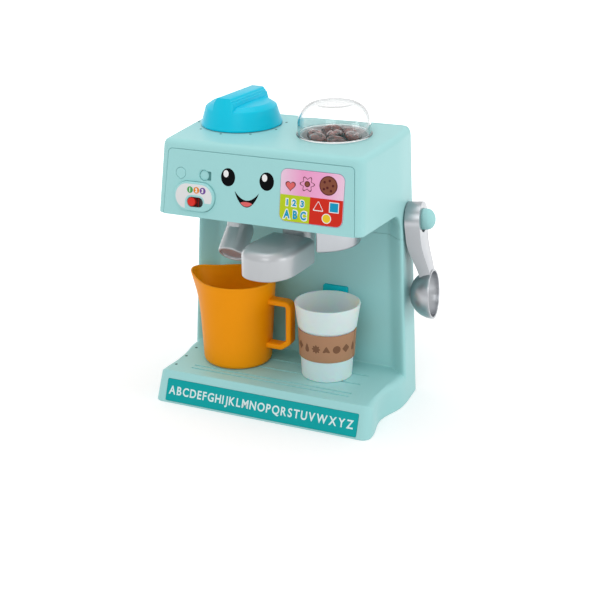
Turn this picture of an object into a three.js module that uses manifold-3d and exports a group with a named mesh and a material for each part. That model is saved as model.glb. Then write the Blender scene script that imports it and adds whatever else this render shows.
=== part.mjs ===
// Toy coffee maker with the pitcher, cup and scoop that belong to it.
// Millimetres. X points right, Y points to the back and Z up.
// The origin is the middle of the base's underside.
import * as THREE from 'three';
import { mergeVertices } from 'three/addons/utils/BufferGeometryUtils.js';
import Module from 'manifold-3d';

const wasm = await Module();
wasm.setup();

// Clearances and cutting allowance
const gap = 0.3;
const overrun = 6;
const weld = 0.0001;

// Housing: a block with rounded corners that gets narrower upwards and away from its widest line
const baseDepth = 154;
const baseHeight = 34;
const baseFrontLeanShare = 0.375;
const bodyHalfWidth = 132.2;
const sideTaperShare = 0.053;
const sideSplayShare = 0.056;
const cheekFromBack = 49;
const frontCornerRadius = 9;
const backCornerRadius = 12;
const wall = 2.5;
const headBottomZ = 218;
const headSetback = 2.7;
const headFrontLeanShare = 0.129;
const topZ = 298.2;
const topSlopeShare = 0.047;
const topEdgeRadius = 7;
const seamZ = 188;
const rearCoverDepth = 11;
const plateThickness = 3;
const scallopDepth = 8;
const scallopFrontShare = 0.1;
const scallopBackShare = 0.92;
const scallopFadePower = 0.3;

// Bay between the tray and the head, with a dished back wall and cheeks at its sides
const bayWallFromBack = 34;
const bayFlatShare = 0.813;
const bayCheekRadius = 22;
const bayWallRadius = 14;
const grooveWidth = 1.6;
const grooveDepth = 0.9;
const grooveEndMargin = 30;
const grooveShares = [0.142, 0.217, 0.4545, 0.683];

// Front panel, in the face's own frame: u along X, v up the slope from the head's lower edge
const panelHeight = 68.9;
const panelMarginLow = 7.5;
const panelMarginHigh = 8.6;
const panelCornerRadius = 4.5;
const postRadius = 3;
const postInset = 4;

// Display window
const displayWidth = 68.3;
const displayHeight = 52.6;
const displaySideMargin = 9.25;
const displayV = 34.4;
const displayRadius = 7;
const displayThickness = 1.2;
const inlayProud = 0.2;

// Mode switch: raised oval housing, label, slot and slider
const modeSideMargin = 13.6;
const modeV = 21.7;
const modeWidth = 46.6;
const modeHeight = 30.4;
const modeProud = 3.2;
const slotAside = 1.5;
const slotDrop = 5.6;
const slotWidth = 18.4;
const slotHeight = 10.4;
const labelThickness = 0.6;
const labelInset = 1.6;
const labelClear = 2.2;
const sliderRadius = 4.6;
const sliderTravel = 8.4;
const carriageWidth = 13;
const carriageHeight = 12.4;
const carriageThickness = 1.6;

// Push button and round lens
const buttonAside = 9.3;
const buttonRise = 22.5;
const buttonRadius = 5.2;
const buttonTravel = 1.5;
const buttonLength = 6;
const buttonFlangeRadius = 6.9;
const buttonFlangeThickness = 1.2;
const buttonSink = 0.8;
const notchWidth = 7;
const notchHeight = 9.6;
const notchDepth = 1.4;
const lensAside = 17.3;
const lensRise = 22.9;
const lensRadius = 5.5;
const lensTipDrop = 7.6;
const lensThickness = 1.2;

// Circuit board behind the panel
const boardSideMargin = 0.7;
const boardHeight = 52;
const boardV = 33;
const boardBack = 14;
const boardThickness = 1.6;
const ledRadius = 2.5;
const ledHeight = 6;
const tactSize = 6;

// Dial on the top, left
const topLeftMarginShare = 0.174;
const dialFromBack = 57;
const dialRadius = 43.6;
const dialShoulderRadius = 38.2;
const dialShoulderHeight = 20;
const dialHeight = 25.5;
const dialLip = 2.5;
const dialWall = 2.2;
const dialHubRadius = 8.5;
const dialFloat = 0.8;
const gripHeight = 34;
const gripTopHalf = 8.3;
const gripFootHalf = 12.6;
const gripStep = 1.5;
const gripHeading = -6.5;
const gripRibDrop = 3;
const gripLedgeDrop = 1.6;
const gripLedgeShare = 0.5;
const gripRibShare = 1.5;
const dialCrownShares = [0.5, 0.86, 0.97];
const dialCrownDrop = 0.7;
const spindleRadius = 5.5;
const spindleLength = 22;
const detentRadius = 15;
const detentHeight = 9;
const clipRadius = 9;
const clipThickness = 1.6;

// Bean window on the top, right
const topRightMarginShare = 0.41;
const beanFromBack = 64;
const dishRadius = 35.8;
const dishDepth = 11;
const dishWall = 1.6;
const domeFootRadius = 39.7;
const domeRadius = 38.4;
const domeFlatRadius = 18.6;
const domeHeight = 33;
const domeWall = 1.6;
const domeFoot = 1.4;
const domeShoulderShare = 0.3;
const beanLength = 17;
const beanWidth = 12.4;
const beanHeight = 10;
const beanRing = 22;
const beanCount = 6;
const beanSides = 10;

// Grinder chute under the head, right
const chuteX = 43.5;
const chuteBackClear = 14.4;
const chuteRadius = 46.6;
const chuteBottomZ = 192;
const chuteWall = 2;
const chuteFlatX = 60.5;
const chuteEdge = 2.4;
const chuteEdgeShare = 0.3;

// Portafilter: a broad tongue with a flat back end, on a post that turns in the head
const portafilterX = 18.4;
const portafilterFromWall = 51.4;
const portafilterTurn = -3.8;
const paddleBack = 11.6;
const paddleFront = 94.3;
const paddleNose = 37.7;
const paddleHalfWidth = 28;
const paddleBackHalf = 26.2;
const paddleNosePower = 2.35;
const postFootRise = 4;
const paddleBottomZ = 168;
const paddleTopZ = 197;
const paddleEdge = 9;
const paddleFoot = 1.4;
const neckRadius = 17;
const neckRise = 6.5;
const collarReach = 6;
const collarThickness = 3;

// Steam wand
const wandX = -55;
const wandFromWall = 45.3;
const wandKnuckleZ = 185;
const wandTilt = 44;
const wandStubRadius = 13.4;
const wandShaftRadius = 7;
const wandKnuckleRadius = 15.4;
const wandTipRadius = 15.2;
const wandLength = 29.5;
const wandMouthDepth = 2;
const wandMouthRim = 1.8;
const wandMouthWidth = 2.7;

// Cup sensor tab in the bay's back wall
const tabX = 41;
const tabWidth = 29;
const tabTopZ = 121.3;
const tabHeight = 40;
const tabProud = 3.6;
const tabTravel = 3;
const tabDepth = 9;
const tabRadius = 2;
const tabFlange = 2;
const bracketThickness = 2;
const sensorBodyHalf = 7.25;

// Scoop and its hook on the right side, both turned to lie along its slant
const hookFromBack = 26.2;
const hookZ = 206;
const hookYaw = 5;
const hookLean = 5;
const hookFlangeRadius = 12.5;
const hookPegRadius = 8.5;
const hookPegRise = 1.35;
const hookReach = 13;
const scoopStandOff = 17.5;
const scoopThickness = 16;
const scoopRingRadius = 20;
const scoopHoleRadius = 13;
const scoopDrop = 82.8;
const scoopForward = 7.1;
const scoopBowlRadius = 27;
const scoopBowlDepth = 26;
const scoopWall = 2;
const scoopNeckHalf = 8.5;
const scoopNeckThickness = 12;
const scoopBendShare = 0.22;
const scoopNeckShare = 0.55;

// Pitcher standing on the tray, left
const pitcherX = -60;
const pitcherBackClear = 0.5;
const pitcherFootRadius = 34;
const pitcherLowRadius = 38.2;
const pitcherRimRadius = 43.4;
const pitcherHeight = 97;
const pitcherFootRise = 5;
const pitcherWall = 2.4;
const spoutReach = 12.5;
const spoutRise = 4;
const spoutStartShare = 0.45;
const spoutSpread = 26;
const spoutLipShare = 0.98;
const pitcherLevelShares = [0, 0.04, 0.15, 0.45, 0.65, 0.8, 0.92, 1];
const handleReach = 26;
const handleWidth = 14;
const handleTopDrop = 19;
const handleHeight = 58;
const handleBar = 6.4;
const handleChamfer = 8;

// Cup standing on the tray, right, with its sleeve
const cupX = 49.3;
const cupTabClear = 4.7;
const cupFootRadius = 27.8;
const cupStepRadius = 30.4;
const cupCollarRadius = 32.2;
const cupRimRadius = 36;
const cupHeight = 84;
const cupCollarHeight = 57.5;
const cupWall = 1.8;
const cupCollarRise = 2;
const sleeveBottom = 24;
const sleeveThickness = 1.2;
const sleeveSlit = 2;

// Letter strip on the base front, in the base face's own frame
const stripSideMargin = 12;
const stripLow = 2.6;
const stripHeight = 24.6;
const stripRadius = 1.5;
const stripThickness = 1;

// Battery compartment, inside the base
const cellRadius = 7.1;
const cellLength = 50;
const cellPitch = 15.2;
const cellCount = 3;
const boxWall = 1.5;
const flangeReach = 4;
const boxFromBack = 59;
const contactThickness = 0.8;
const doorThickness = 2.4;
const doorBorder = 4;
const doorRadius = 4;
const screwHeadRadius = 3.2;
const screwHeadHeight = 1.6;
const screwShankRadius = 1.5;
const screwLength = 10;
const bossRadius = 4.5;

// Speaker and its grille, on the rear cover
const speakerRadius = 20;
const speakerDepth = 9;
const speakerRimDepth = 3;
const speakerZ = 120;
const grilleHoleRadius = 1.7;
const grilleRing = 7;
const grilleRows = [6, 12];
const rearScrewInset = 16;
const rearScrewHigh = 262;
const rearScrewLow = 60;
const rearScrewLength = 18;
const rearBossDepth = 12;

// Feet set into the base plate
const footRadius = 8;
const footThickness = 1.4;
const footInset = 20;

// Round shapes are cut into this many sides
const coarse = 8;
const medium = 16;
const fine = 32;
const cornerSteps = 4;
const sideSteps = 8;

const colours = {
  mint: 0x9ed0ce, knob: 0x00b7d4, teal: 0x00a4a8, silver: 0xa9aeb2, orange: 0xfa9200,
  white: 0xe9e9e9, brown: 0xb08466, bean: 0x6e3223, pink: 0xf3b7d6, red: 0xd7372a,
  clear: 0xf2f6f7, dark: 0x2b2d2f, board: 0x2f6d46, brass: 0xc9a95b, rubber: 0x3a3c3d,
};

function plastic(colour, roughness = 0.4, metalness = 0) {
  return new THREE.MeshStandardMaterial({ color: colours[colour], roughness, metalness });
}

const lerp = THREE.MathUtils.lerp;
const radians = THREE.MathUtils.degToRad;

// Solids and meshes

function toSolid(geometry) {
  const plain = geometry.clone();
  plain.deleteAttribute('normal');
  plain.deleteAttribute('uv');
  const merged = mergeVertices(plain, weld);
  return new wasm.Manifold(new wasm.Mesh({
    numProp: 3,
    vertProperties: new Float32Array(merged.attributes.position.array),
    triVerts: new Uint32Array(merged.index.array),
  }));
}

function toGeometry(solid) {
  const mesh = solid.getMesh();
  const geometry = new THREE.BufferGeometry();
  geometry.setAttribute('position', new THREE.BufferAttribute(mesh.vertProperties, 3));
  geometry.setIndex(new THREE.BufferAttribute(mesh.triVerts, 1));
  return geometry;
}

function piece(name, shape, material, parent) {
  const geometry = shape.isBufferGeometry ? shape : toGeometry(shape);
  const mesh = new THREE.Mesh(geometry, material);
  mesh.name = name;
  parent.add(mesh);
  return mesh;
}

function union(...geometries) {
  return geometries.map((shape) => (shape.isBufferGeometry ? toSolid(shape) : shape))
    .reduce((sum, solid) => sum.add(solid));
}

function cut(base, ...tools) {
  const start = base.isBufferGeometry ? toSolid(base) : base;
  return tools.map((shape) => (shape.isBufferGeometry ? toSolid(shape) : shape))
    .reduce((left, tool) => left.subtract(tool), start);
}

function common(first, second) {
  const [a, b] = [first, second].map((shape) => (shape.isBufferGeometry ? toSolid(shape) : shape));
  return a.intersect(b);
}

function box(x0, x1, y0, y1, z0, z1) {
  return new THREE.BoxGeometry(x1 - x0, y1 - y0, z1 - z0)
    .translate((x0 + x1) / 2, (y0 + y1) / 2, (z0 + z1) / 2);
}

// A cylinder along Z from one height to another
function rod(radius, z0, z1, x = 0, y = 0, sides = medium) {
  return new THREE.CylinderGeometry(radius, radius, z1 - z0, sides)
    .rotateX(Math.PI / 2).translate(x, y, (z0 + z1) / 2);
}

// A lathed solid around Z from points [radius, height], run so that its outside goes up
function turned(points, sides = fine) {
  const profile = points.map(([r, h]) => new THREE.Vector2(r, h));
  if (THREE.ShapeUtils.area(profile) < 0) profile.reverse();
  return new THREE.LatheGeometry(profile, sides).rotateX(Math.PI / 2);
}

function extruded(shape, depth, steps = cornerSteps) {
  return new THREE.ExtrudeGeometry(shape, { depth, bevelEnabled: false, curveSegments: steps });
}

// An outline in X and Z carried along Y
function alongY(shape, y0, y1, steps) {
  return extruded(shape, y1 - y0, steps).rotateX(Math.PI / 2).translate(0, y1, 0);
}

function roundedRect(width, height, radius, u = 0, v = 0) {
  const shape = new THREE.Shape();
  const x = width / 2 - radius;
  const y = height / 2 - radius;
  shape.absarc(u + x, v - y, radius, -Math.PI / 2, 0);
  shape.absarc(u + x, v + y, radius, 0, Math.PI / 2);
  shape.absarc(u - x, v + y, radius, Math.PI / 2, Math.PI);
  shape.absarc(u - x, v - y, radius, Math.PI, 3 * Math.PI / 2);
  shape.closePath();
  return shape;
}

// A closed skin over a row of rings, with a fan over the first and the last ring
function loft(rings) {
  const count = rings[0].length;
  const positions = rings.flat().flatMap((point) => [point.x, point.y, point.z]);
  const index = [];
  for (let ring = 0; ring < rings.length - 1; ring += 1) {
    for (let side = 0; side < count; side += 1) {
      const a = ring * count + side;
      const b = ring * count + ((side + 1) % count);
      index.push(a, b, b + count, a, b + count, a + count);
    }
  }
  [rings[0], rings[rings.length - 1]].forEach((ring, end) => {
    const centre = ring.reduce((sum, point) => sum.add(point), new THREE.Vector3()).divideScalar(count);
    const centreIndex = positions.length / 3;
    positions.push(centre.x, centre.y, centre.z);
    const first = end === 0 ? 0 : (rings.length - 1) * count;
    for (let side = 0; side < count; side += 1) {
      const a = first + side;
      const b = first + ((side + 1) % count);
      index.push(...(end === 0 ? [centreIndex, b, a] : [centreIndex, a, b]));
    }
  });
  const geometry = new THREE.BufferGeometry();
  geometry.setAttribute('position', new THREE.Float32BufferAttribute(positions, 3));
  geometry.setIndex(index);
  return geometry;
}

// Housing block

const baseFrontY = -baseDepth / 2;
const baseBackY = baseDepth / 2;
const widestY = baseBackY - cheekFromBack;
const headFrontY = baseFrontY + headSetback;
const rearSplitY = baseBackY - rearCoverDepth;
const bayWallY = baseBackY - bayWallFromBack;

function sideX(y, z) {
  return bodyHalfWidth - sideTaperShare * z - sideSplayShare * Math.abs(y - widestY);
}

function frontY(z) {
  if (z <= baseHeight) return baseFrontY + baseFrontLeanShare * z;
  const trayFront = baseFrontY + baseFrontLeanShare * baseHeight;
  if (z <= headBottomZ) return lerp(trayFront, headFrontY, (z - baseHeight) / (headBottomZ - baseHeight));
  return headFrontY + headFrontLeanShare * (z - headBottomZ);
}

function topAt(y) {
  return topZ + topSlopeShare * y;
}

// Places that follow from the housing's size

const panelTopZ = headBottomZ + panelHeight;
const panelHalfWidthLow = sideX(headFrontY, headBottomZ) - panelMarginLow;
const panelHalfWidthHigh = sideX(frontY(panelTopZ), panelTopZ) - panelMarginHigh;
const displayU = panelHalfWidthHigh - displaySideMargin - displayWidth / 2;
const modeU = -panelHalfWidthLow + modeSideMargin + modeWidth / 2;
const slotU = modeU + slotAside;
const slotV = modeV - slotDrop;
const buttonU = modeU + buttonAside;
const buttonV = modeV + buttonRise;
const lensU = modeU - lensAside;
const lensV = modeV + lensRise;
const boardWidth = 2 * (panelHalfWidthHigh - boardSideMargin);
const dialY = baseBackY - dialFromBack;
const beanY = baseBackY - beanFromBack;
const topHalf = sideX(dialY, topZ);
const topSpare = 2 * (topHalf - dialRadius - domeFootRadius);
const dialX = -topHalf + topLeftMarginShare * topSpare + dialRadius;
const beanX = topHalf - topRightMarginShare * topSpare - domeFootRadius;
const chuteY = bayWallY - chuteBackClear - chuteRadius;
const portafilterY = bayWallY - portafilterFromWall;
const wandY = bayWallY - wandFromWall;
const hookY = baseBackY - hookFromBack;
const scoopFaceX = sideX(hookY, hookZ) + scoopStandOff;
const pitcherY = bayWallY - pitcherBackClear - pitcherRimRadius;
const cupY = bayWallY - tabProud - cupTabClear - cupRimRadius;
const boxY = baseBackY - boxFromBack;
const stripHalfWidth = sideX(baseFrontY, baseHeight / 2) - stripSideMargin;
const grooveHalfLength = sideX(baseFrontY, baseHeight) - grooveEndMargin;

// How far the base's sides are dished in between the front corner and the widest line
function scallopAt(y, z) {
  const start = lerp(baseFrontY, widestY, scallopFrontShare);
  const end = lerp(baseFrontY, widestY, scallopBackShare);
  if (y <= start || y >= end || z >= baseHeight) return 0;
  const along = Math.sin(Math.PI * (y - start) / (end - start)) ** 2;
  return scallopDepth * along * Math.cos(Math.PI / 2 * Math.max(z, 0) / baseHeight) ** scallopFadePower;
}

function bodyRing(z, inset, heightAt = () => z) {
  const front = frontY(heightAt(frontY(z))) + inset;
  const back = baseBackY - inset;
  const rFront = frontCornerRadius - Math.min(inset, frontCornerRadius / 2);
  const rBack = backCornerRadius - Math.min(inset, backCornerRadius / 2);
  const half = [];
  for (let step = 0; step <= cornerSteps; step += 1) {
    const turn = Math.PI / 2 * (1 - step / cornerSteps);
    half.push([front + rFront * (1 - Math.sin(turn)), rFront * (1 - Math.cos(turn))]);
  }
  for (let step = 1; step <= sideSteps; step += 1) {
    half.push([lerp(front + rFront, widestY, step / sideSteps), 0]);
  }
  for (let step = 0; step <= cornerSteps; step += 1) {
    const turn = Math.PI / 2 * step / cornerSteps;
    half.push([back - rBack * (1 - Math.sin(turn)), rBack * (1 - Math.cos(turn))]);
  }
  const right = half.map(([y, drawn]) => {
    const x = sideX(y, heightAt(y)) - inset - drawn - scallopAt(y, z);
    return new THREE.Vector3(x, y, heightAt(y));
  });
  const left = right.map((point) => new THREE.Vector3(-point.x, point.y, point.z)).reverse();
  return [...right, ...left];
}

function bodyBlock(inset) {
  const rings = [];
  const bottom = inset > 0 ? -overrun : 0;
  const levels = [bottom, baseHeight / 3, baseHeight * 2 / 3, baseHeight, seamZ, headBottomZ];
  levels.forEach((z) => rings.push(bodyRing(z, inset)));
  const radius = Math.max(topEdgeRadius - inset, topEdgeRadius / 2);
  for (let step = 0; step <= cornerSteps; step += 1) {
    const turn = Math.PI / 2 * step / cornerSteps;
    const drawn = inset + radius * (1 - Math.cos(turn));
    const drop = inset + radius * (1 - Math.sin(turn));
    rings.push(bodyRing(topAt(0) - drop, drawn, (y) => topAt(y) - drop));
  }
  return loft(rings);
}

// The bay as a solid, grown outwards by an amount. Its side outline is carried across the housing,
// and the back wall comes forward to the cheeks, where its upper corner has a larger radius.

function bayRing(share, grow) {
  const along = Math.max(Math.min((Math.abs(share) - bayFlatShare) / (1 - bayFlatShare), 1), 0);
  const ease = (1 + Math.cos(Math.PI * along)) / 2;
  const back = lerp(widestY, bayWallY, ease) + grow;
  const radius = lerp(bayCheekRadius, bayWallRadius, ease) + grow;
  const bottom = baseHeight - grow;
  const ceiling = headBottomZ + grow;
  const farY = baseFrontY - overrun;
  const outline = [[farY, bottom], [back, bottom]];
  const steps = 2 * cornerSteps;
  for (let step = 0; step <= steps; step += 1) {
    const turn = Math.PI / 2 * step / steps;
    outline.push([back - radius * (1 - Math.cos(turn)), ceiling - radius * (1 - Math.sin(turn))]);
  }
  outline.push([farY, ceiling]);
  return outline.map(([y, z]) => new THREE.Vector3(share * sideX(widestY, z), y, z));
}

function bayVolume(grow) {
  const steps = 2 * cornerSteps;
  const reachShare = 1 + overrun / bodyHalfWidth;
  const shares = [reachShare];
  for (let step = 0; step <= steps; step += 1) shares.push(lerp(1, bayFlatShare, step / steps));
  const mirrored = shares.map((share) => -share);
  return loft([...mirrored, ...shares.reverse()].map((share) => bayRing(share, grow)));
}

const outer = toSolid(bodyBlock(0));
const hollow = cut(bodyBlock(wall), bayVolume(wall));
const shell = cut(outer, hollow, bayVolume(0));

// The head's face frame and the base's face frame

const faceLean = Math.atan(headFrontLeanShare);
const faceFrame = new THREE.Matrix4().makeRotationX(Math.PI / 2 - faceLean)
  .setPosition(0, headFrontY, headBottomZ);
const baseFaceLean = Math.atan(baseFrontLeanShare);
const baseFaceFrame = new THREE.Matrix4().makeRotationX(Math.PI / 2 - baseFaceLean)
  .setPosition(0, baseFrontY, 0);
const topLean = Math.atan(topSlopeShare);
const topFrame = new THREE.Matrix4().makeRotationX(topLean).setPosition(0, 0, topZ);

function onFace(geometry) {
  return geometry.clone().applyMatrix4(faceFrame);
}

function onTop(geometry) {
  return geometry.clone().applyMatrix4(topFrame);
}

function frameGroup(matrix, parent) {
  const group = new THREE.Group();
  group.applyMatrix4(matrix);
  parent.add(group);
  return group;
}

const toy = new THREE.Group();
const face = frameGroup(faceFrame, toy);
const top = frameGroup(topFrame, toy);
const baseFace = frameGroup(baseFaceFrame, toy);

// Panel outline, grown by an amount at its sides and top

function panelShape(grow, drop) {
  const low = panelHalfWidthLow + grow + drop * (panelHalfWidthLow - panelHalfWidthHigh) / panelHeight;
  const high = panelHalfWidthHigh + grow;
  const topV = panelHeight + grow;
  const radius = panelCornerRadius + grow;
  const shape = new THREE.Shape();
  shape.moveTo(-low, -drop);
  shape.lineTo(low, -drop);
  shape.absarc(high - radius, topV - radius, radius, 0, Math.PI / 2);
  shape.absarc(-high + radius, topV - radius, radius, Math.PI / 2, Math.PI);
  shape.closePath();
  return shape;
}

function slab(shape, w0, w1, steps) {
  return extruded(shape, w1 - w0, steps).translate(0, 0, w0);
}

// Drop-shaped lens outline: a circle that runs to a point below
function lensShape(grow) {
  const radius = lensRadius + grow;
  const drop = lensTipDrop + grow;
  const touch = Math.acos(radius / drop);
  const shape = new THREE.Shape();
  shape.moveTo(lensU, lensV - drop);
  shape.absarc(lensU, lensV, radius, -Math.PI / 2 + touch, 3 * Math.PI / 2 - touch);
  shape.closePath();
  return shape;
}

// Head and lower housing

const spindleHole = rod(spindleRadius + gap, -overrun, overrun, dialX, dialY);
const dishHole = rod(dishRadius + gap, -overrun, overrun, beanX, beanY, fine);
const neckHole = rod(
  neckRadius + gap, headBottomZ - overrun, headBottomZ + overrun, portafilterX, portafilterY, fine,
);
const wandHole = rod(wandShaftRadius + gap, headBottomZ - overrun, headBottomZ + overrun, wandX, wandY);
const panelHole = slab(panelShape(gap, overrun), -wall - gap, overrun);
const tabHole = alongY(
  roundedRect(tabWidth + 2 * gap, tabHeight + 2 * gap, tabRadius + gap, tabX, tabTopZ - tabHeight / 2),
  bayWallY - overrun,
  bayWallY + overrun,
);
const stripMiddle = stripLow + stripHeight / 2;
const stripPocket = slab(
  roundedRect(2 * (stripHalfWidth + gap), stripHeight + 2 * gap, stripRadius + gap, 0, stripMiddle),
  -stripThickness - gap + inlayProud,
  overrun,
).applyMatrix4(baseFaceFrame);
const grooves = grooveShares.map((share) => lerp(frontY(baseHeight), bayWallY, share)).map((y) => box(
  -grooveHalfLength, grooveHalfLength, y - grooveWidth / 2, y + grooveWidth / 2,
  baseHeight - grooveDepth, baseHeight + overrun,
));

function keep(solid, y0, y1, z0, z1) {
  const reach = bodyHalfWidth + overrun;
  return common(solid, box(-reach, reach, y0, y1, z0, z1));
}

const rearScrewPlaces = [rearScrewLow, rearScrewHigh].flatMap((z) => {
  const x = sideX(baseBackY, z) - rearScrewInset;
  return [[-x, z], [x, z]];
});

// A boss for a rear screw, tied to the side wall by a rib
function rearBoss([x, z]) {
  const back = rearSplitY - gap / 2;
  const edge = Math.sign(x) * (sideX(rearSplitY, z) - wall / 2);
  const post = rod(bossRadius, 0, rearBossDepth, x, z);
  const rib = box(Math.min(x, edge), Math.max(x, edge), z - wall / 2, z + wall / 2, 0, rearBossDepth);
  const hole = rod(screwShankRadius + gap, -overrun, rearBossDepth + overrun, x, z, coarse);
  return toGeometry(cut(union(post, rib), hole)).rotateX(Math.PI / 2).translate(0, back, 0);
}

const low = baseFrontY - overrun;
const far = baseBackY + overrun;
const high = topAt(baseBackY) + overrun;
const headPart = keep(shell, low, rearSplitY - gap / 2, seamZ + gap / 2, high);
const headSolid = union(headPart, ...rearScrewPlaces.slice(2).map(rearBoss));
const topHoles = [onTop(spindleHole), onTop(dishHole)];
const head = cut(headSolid, ...topHoles, neckHole, wandHole, onFace(panelHole));
piece('head_shell', head, plastic('mint'), toy);

const lowerPart = keep(shell, low, rearSplitY - gap / 2, -overrun, seamZ - gap / 2);
const lowerSolid = union(lowerPart, ...rearScrewPlaces.slice(0, 2).map(rearBoss));
const lower = cut(lowerSolid, tabHole, stripPocket, ...grooves);
piece('lower_shell', lower, plastic('mint'), toy);

// Rear cover with the speaker grille and screw holes

function grilleHoles() {
  const holes = [rod(grilleHoleRadius, -overrun, overrun, 0, 0, coarse)];
  grilleRows.forEach((holeCount, row) => {
    for (let step = 0; step < holeCount; step += 1) {
      const turn = 2 * Math.PI * step / holeCount;
      const distance = (row + 1) * grilleRing;
      holes.push(rod(grilleHoleRadius, -overrun, overrun,
        distance * Math.cos(turn), distance * Math.sin(turn), coarse));
    }
  });
  return holes.map((hole) => hole.rotateX(Math.PI / 2).translate(0, baseBackY, speakerZ));
}

function rearScrewHole([x, z]) {
  const shank = rod(screwShankRadius + gap, -wall - overrun, overrun, x, -z, coarse);
  const sink = rod(screwHeadRadius + gap, -screwHeadHeight - gap, overrun, x, -z, medium);
  return [shank, sink].map((hole) => hole.rotateX(-Math.PI / 2).translate(0, baseBackY, 0));
}

const rearPart = keep(shell, rearSplitY + gap / 2, far, -overrun, high);
const rear = cut(rearPart, ...grilleHoles(), ...rearScrewPlaces.flatMap(rearScrewHole));
piece('rear_cover', rear, plastic('mint'), toy);

rearScrewPlaces.forEach(([x, z], number) => {
  const headEnd = -gap;
  const shape = union(
    rod(screwHeadRadius, headEnd - screwHeadHeight + gap, headEnd, 0, 0, medium),
    rod(screwShankRadius, headEnd - rearScrewLength, headEnd - screwHeadHeight / 2, 0, 0, coarse),
  );
  const screw = piece(`rear_screw_${number + 1}`, shape, plastic('silver', 0.3, 1), toy);
  screw.rotation.x = -Math.PI / 2;
  screw.position.set(x, baseBackY, z);
});

// Base plate with its door opening and feet

const boxWidth = cellLength + 2 * (contactThickness + gap) + 2 * boxWall;
const boxDepth = cellCount * cellPitch + 2 * boxWall;
const doorWidth = boxWidth + 2 * doorBorder;
const doorDepth = boxDepth + 2 * doorBorder;
const doorScrewX = doorWidth / 2 + bossRadius;
const footX = bodyHalfWidth - footInset - wall;
const footPlaces = [-1, 1].flatMap((sideSign) => [-1, 1].map((end) => [
  sideSign * footX, end * (baseDepth / 2 - footInset),
]));
const doorOutline = (grow) => roundedRect(
  doorWidth + 2 * (bossRadius * 2 + grow), doorDepth + 2 * grow, doorRadius + grow, 0, boxY,
);
const doorHole = slab(doorOutline(gap), -overrun, overrun);
const footHoles = footPlaces.map(([x, y]) => rod(footRadius + gap, -overrun, footThickness + gap, x, y));
const plateBlock = keep(toSolid(bodyBlock(wall + gap)), low, far, 0, plateThickness);
piece('base_plate', cut(plateBlock, doorHole, ...footHoles), plastic('mint', 0.5), toy);

footPlaces.forEach(([x, y], number) => {
  piece(`foot_${number + 1}`, rod(footRadius, 0, footThickness, x, y), plastic('rubber', 0.9), toy);
});

// Battery box, cells, contacts, door and its screw

const boxFloor = doorThickness + gap;
const cellZ = boxFloor + gap + cellRadius;
const boxTop = cellZ + cellRadius + gap + boxWall;
const boxBlock = box(
  -boxWidth / 2, boxWidth / 2, boxY - boxDepth / 2, boxY + boxDepth / 2, boxFloor, boxTop,
);
const bossPlaces = [-doorScrewX, doorScrewX];
const bosses = bossPlaces.map((x) => union(
  rod(bossRadius, boxFloor, boxTop, x, boxY, medium),
  box(Math.min(x, 0), Math.max(x, 0), boxY - boxWall, boxY + boxWall, boxFloor, boxTop),
));
const bossHoleRadius = screwShankRadius + gap;
const bossHoles = bossPlaces.map((x) => rod(bossHoleRadius, -overrun, boxTop - boxWall, x, boxY, coarse));
const inside = box(
  -boxWidth / 2 + boxWall, boxWidth / 2 - boxWall,
  boxY - boxDepth / 2 + boxWall, boxY + boxDepth / 2 - boxWall,
  boxFloor - overrun, boxTop - boxWall,
);
const flange = slab(doorOutline(flangeReach), plateThickness + gap, plateThickness + gap + boxWall);
const batteryBox = cut(union(boxBlock, flange, ...bosses), inside, ...bossHoles);
piece('battery_box', batteryBox, plastic('dark', 0.6), toy);

for (let number = 0; number < cellCount; number += 1) {
  const y = boxY + (number - (cellCount - 1) / 2) * cellPitch;
  const cell = rod(cellRadius, -cellLength / 2, cellLength / 2, 0, 0, medium)
    .rotateY(Math.PI / 2).translate(0, y, cellZ);
  piece(`battery_${number + 1}`, cell, plastic('brass', 0.3, 0.6), toy);
}

['left', 'right'].forEach((side, number) => {
  const sign = number === 0 ? -1 : 1;
  const inner = cellLength / 2 + gap / 2;
  const plate = box(
    inner, inner + contactThickness,
    boxY - boxDepth / 2 + boxWall + gap, boxY + boxDepth / 2 - boxWall - gap,
    boxFloor, boxTop - boxWall - gap,
  );
  const shape = sign > 0 ? plate : plate.clone().rotateZ(Math.PI).translate(0, 2 * boxY, 0);
  piece(`contact_${side}`, shape, plastic('brass', 0.35, 1), toy);
});

const doorPlate = slab(doorOutline(0), 0, doorThickness);
const doorSinks = bossPlaces.map((x) => union(
  rod(screwShankRadius + gap, -overrun, overrun, x, boxY, coarse),
  rod(screwHeadRadius + gap, -overrun, screwHeadHeight, x, boxY, medium),
));
piece('battery_door', cut(doorPlate, ...doorSinks), plastic('mint', 0.5), toy);

bossPlaces.forEach((x, number) => {
  const shape = union(
    rod(screwHeadRadius, gap, screwHeadHeight - gap, x, boxY, medium),
    rod(screwShankRadius, screwHeadHeight / 2, screwLength, x, boxY, coarse),
  );
  piece(`door_screw_${number + 1}`, shape, plastic('silver', 0.3, 1), toy);
});

// Front panel with the holes and pockets for what it carries

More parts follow.
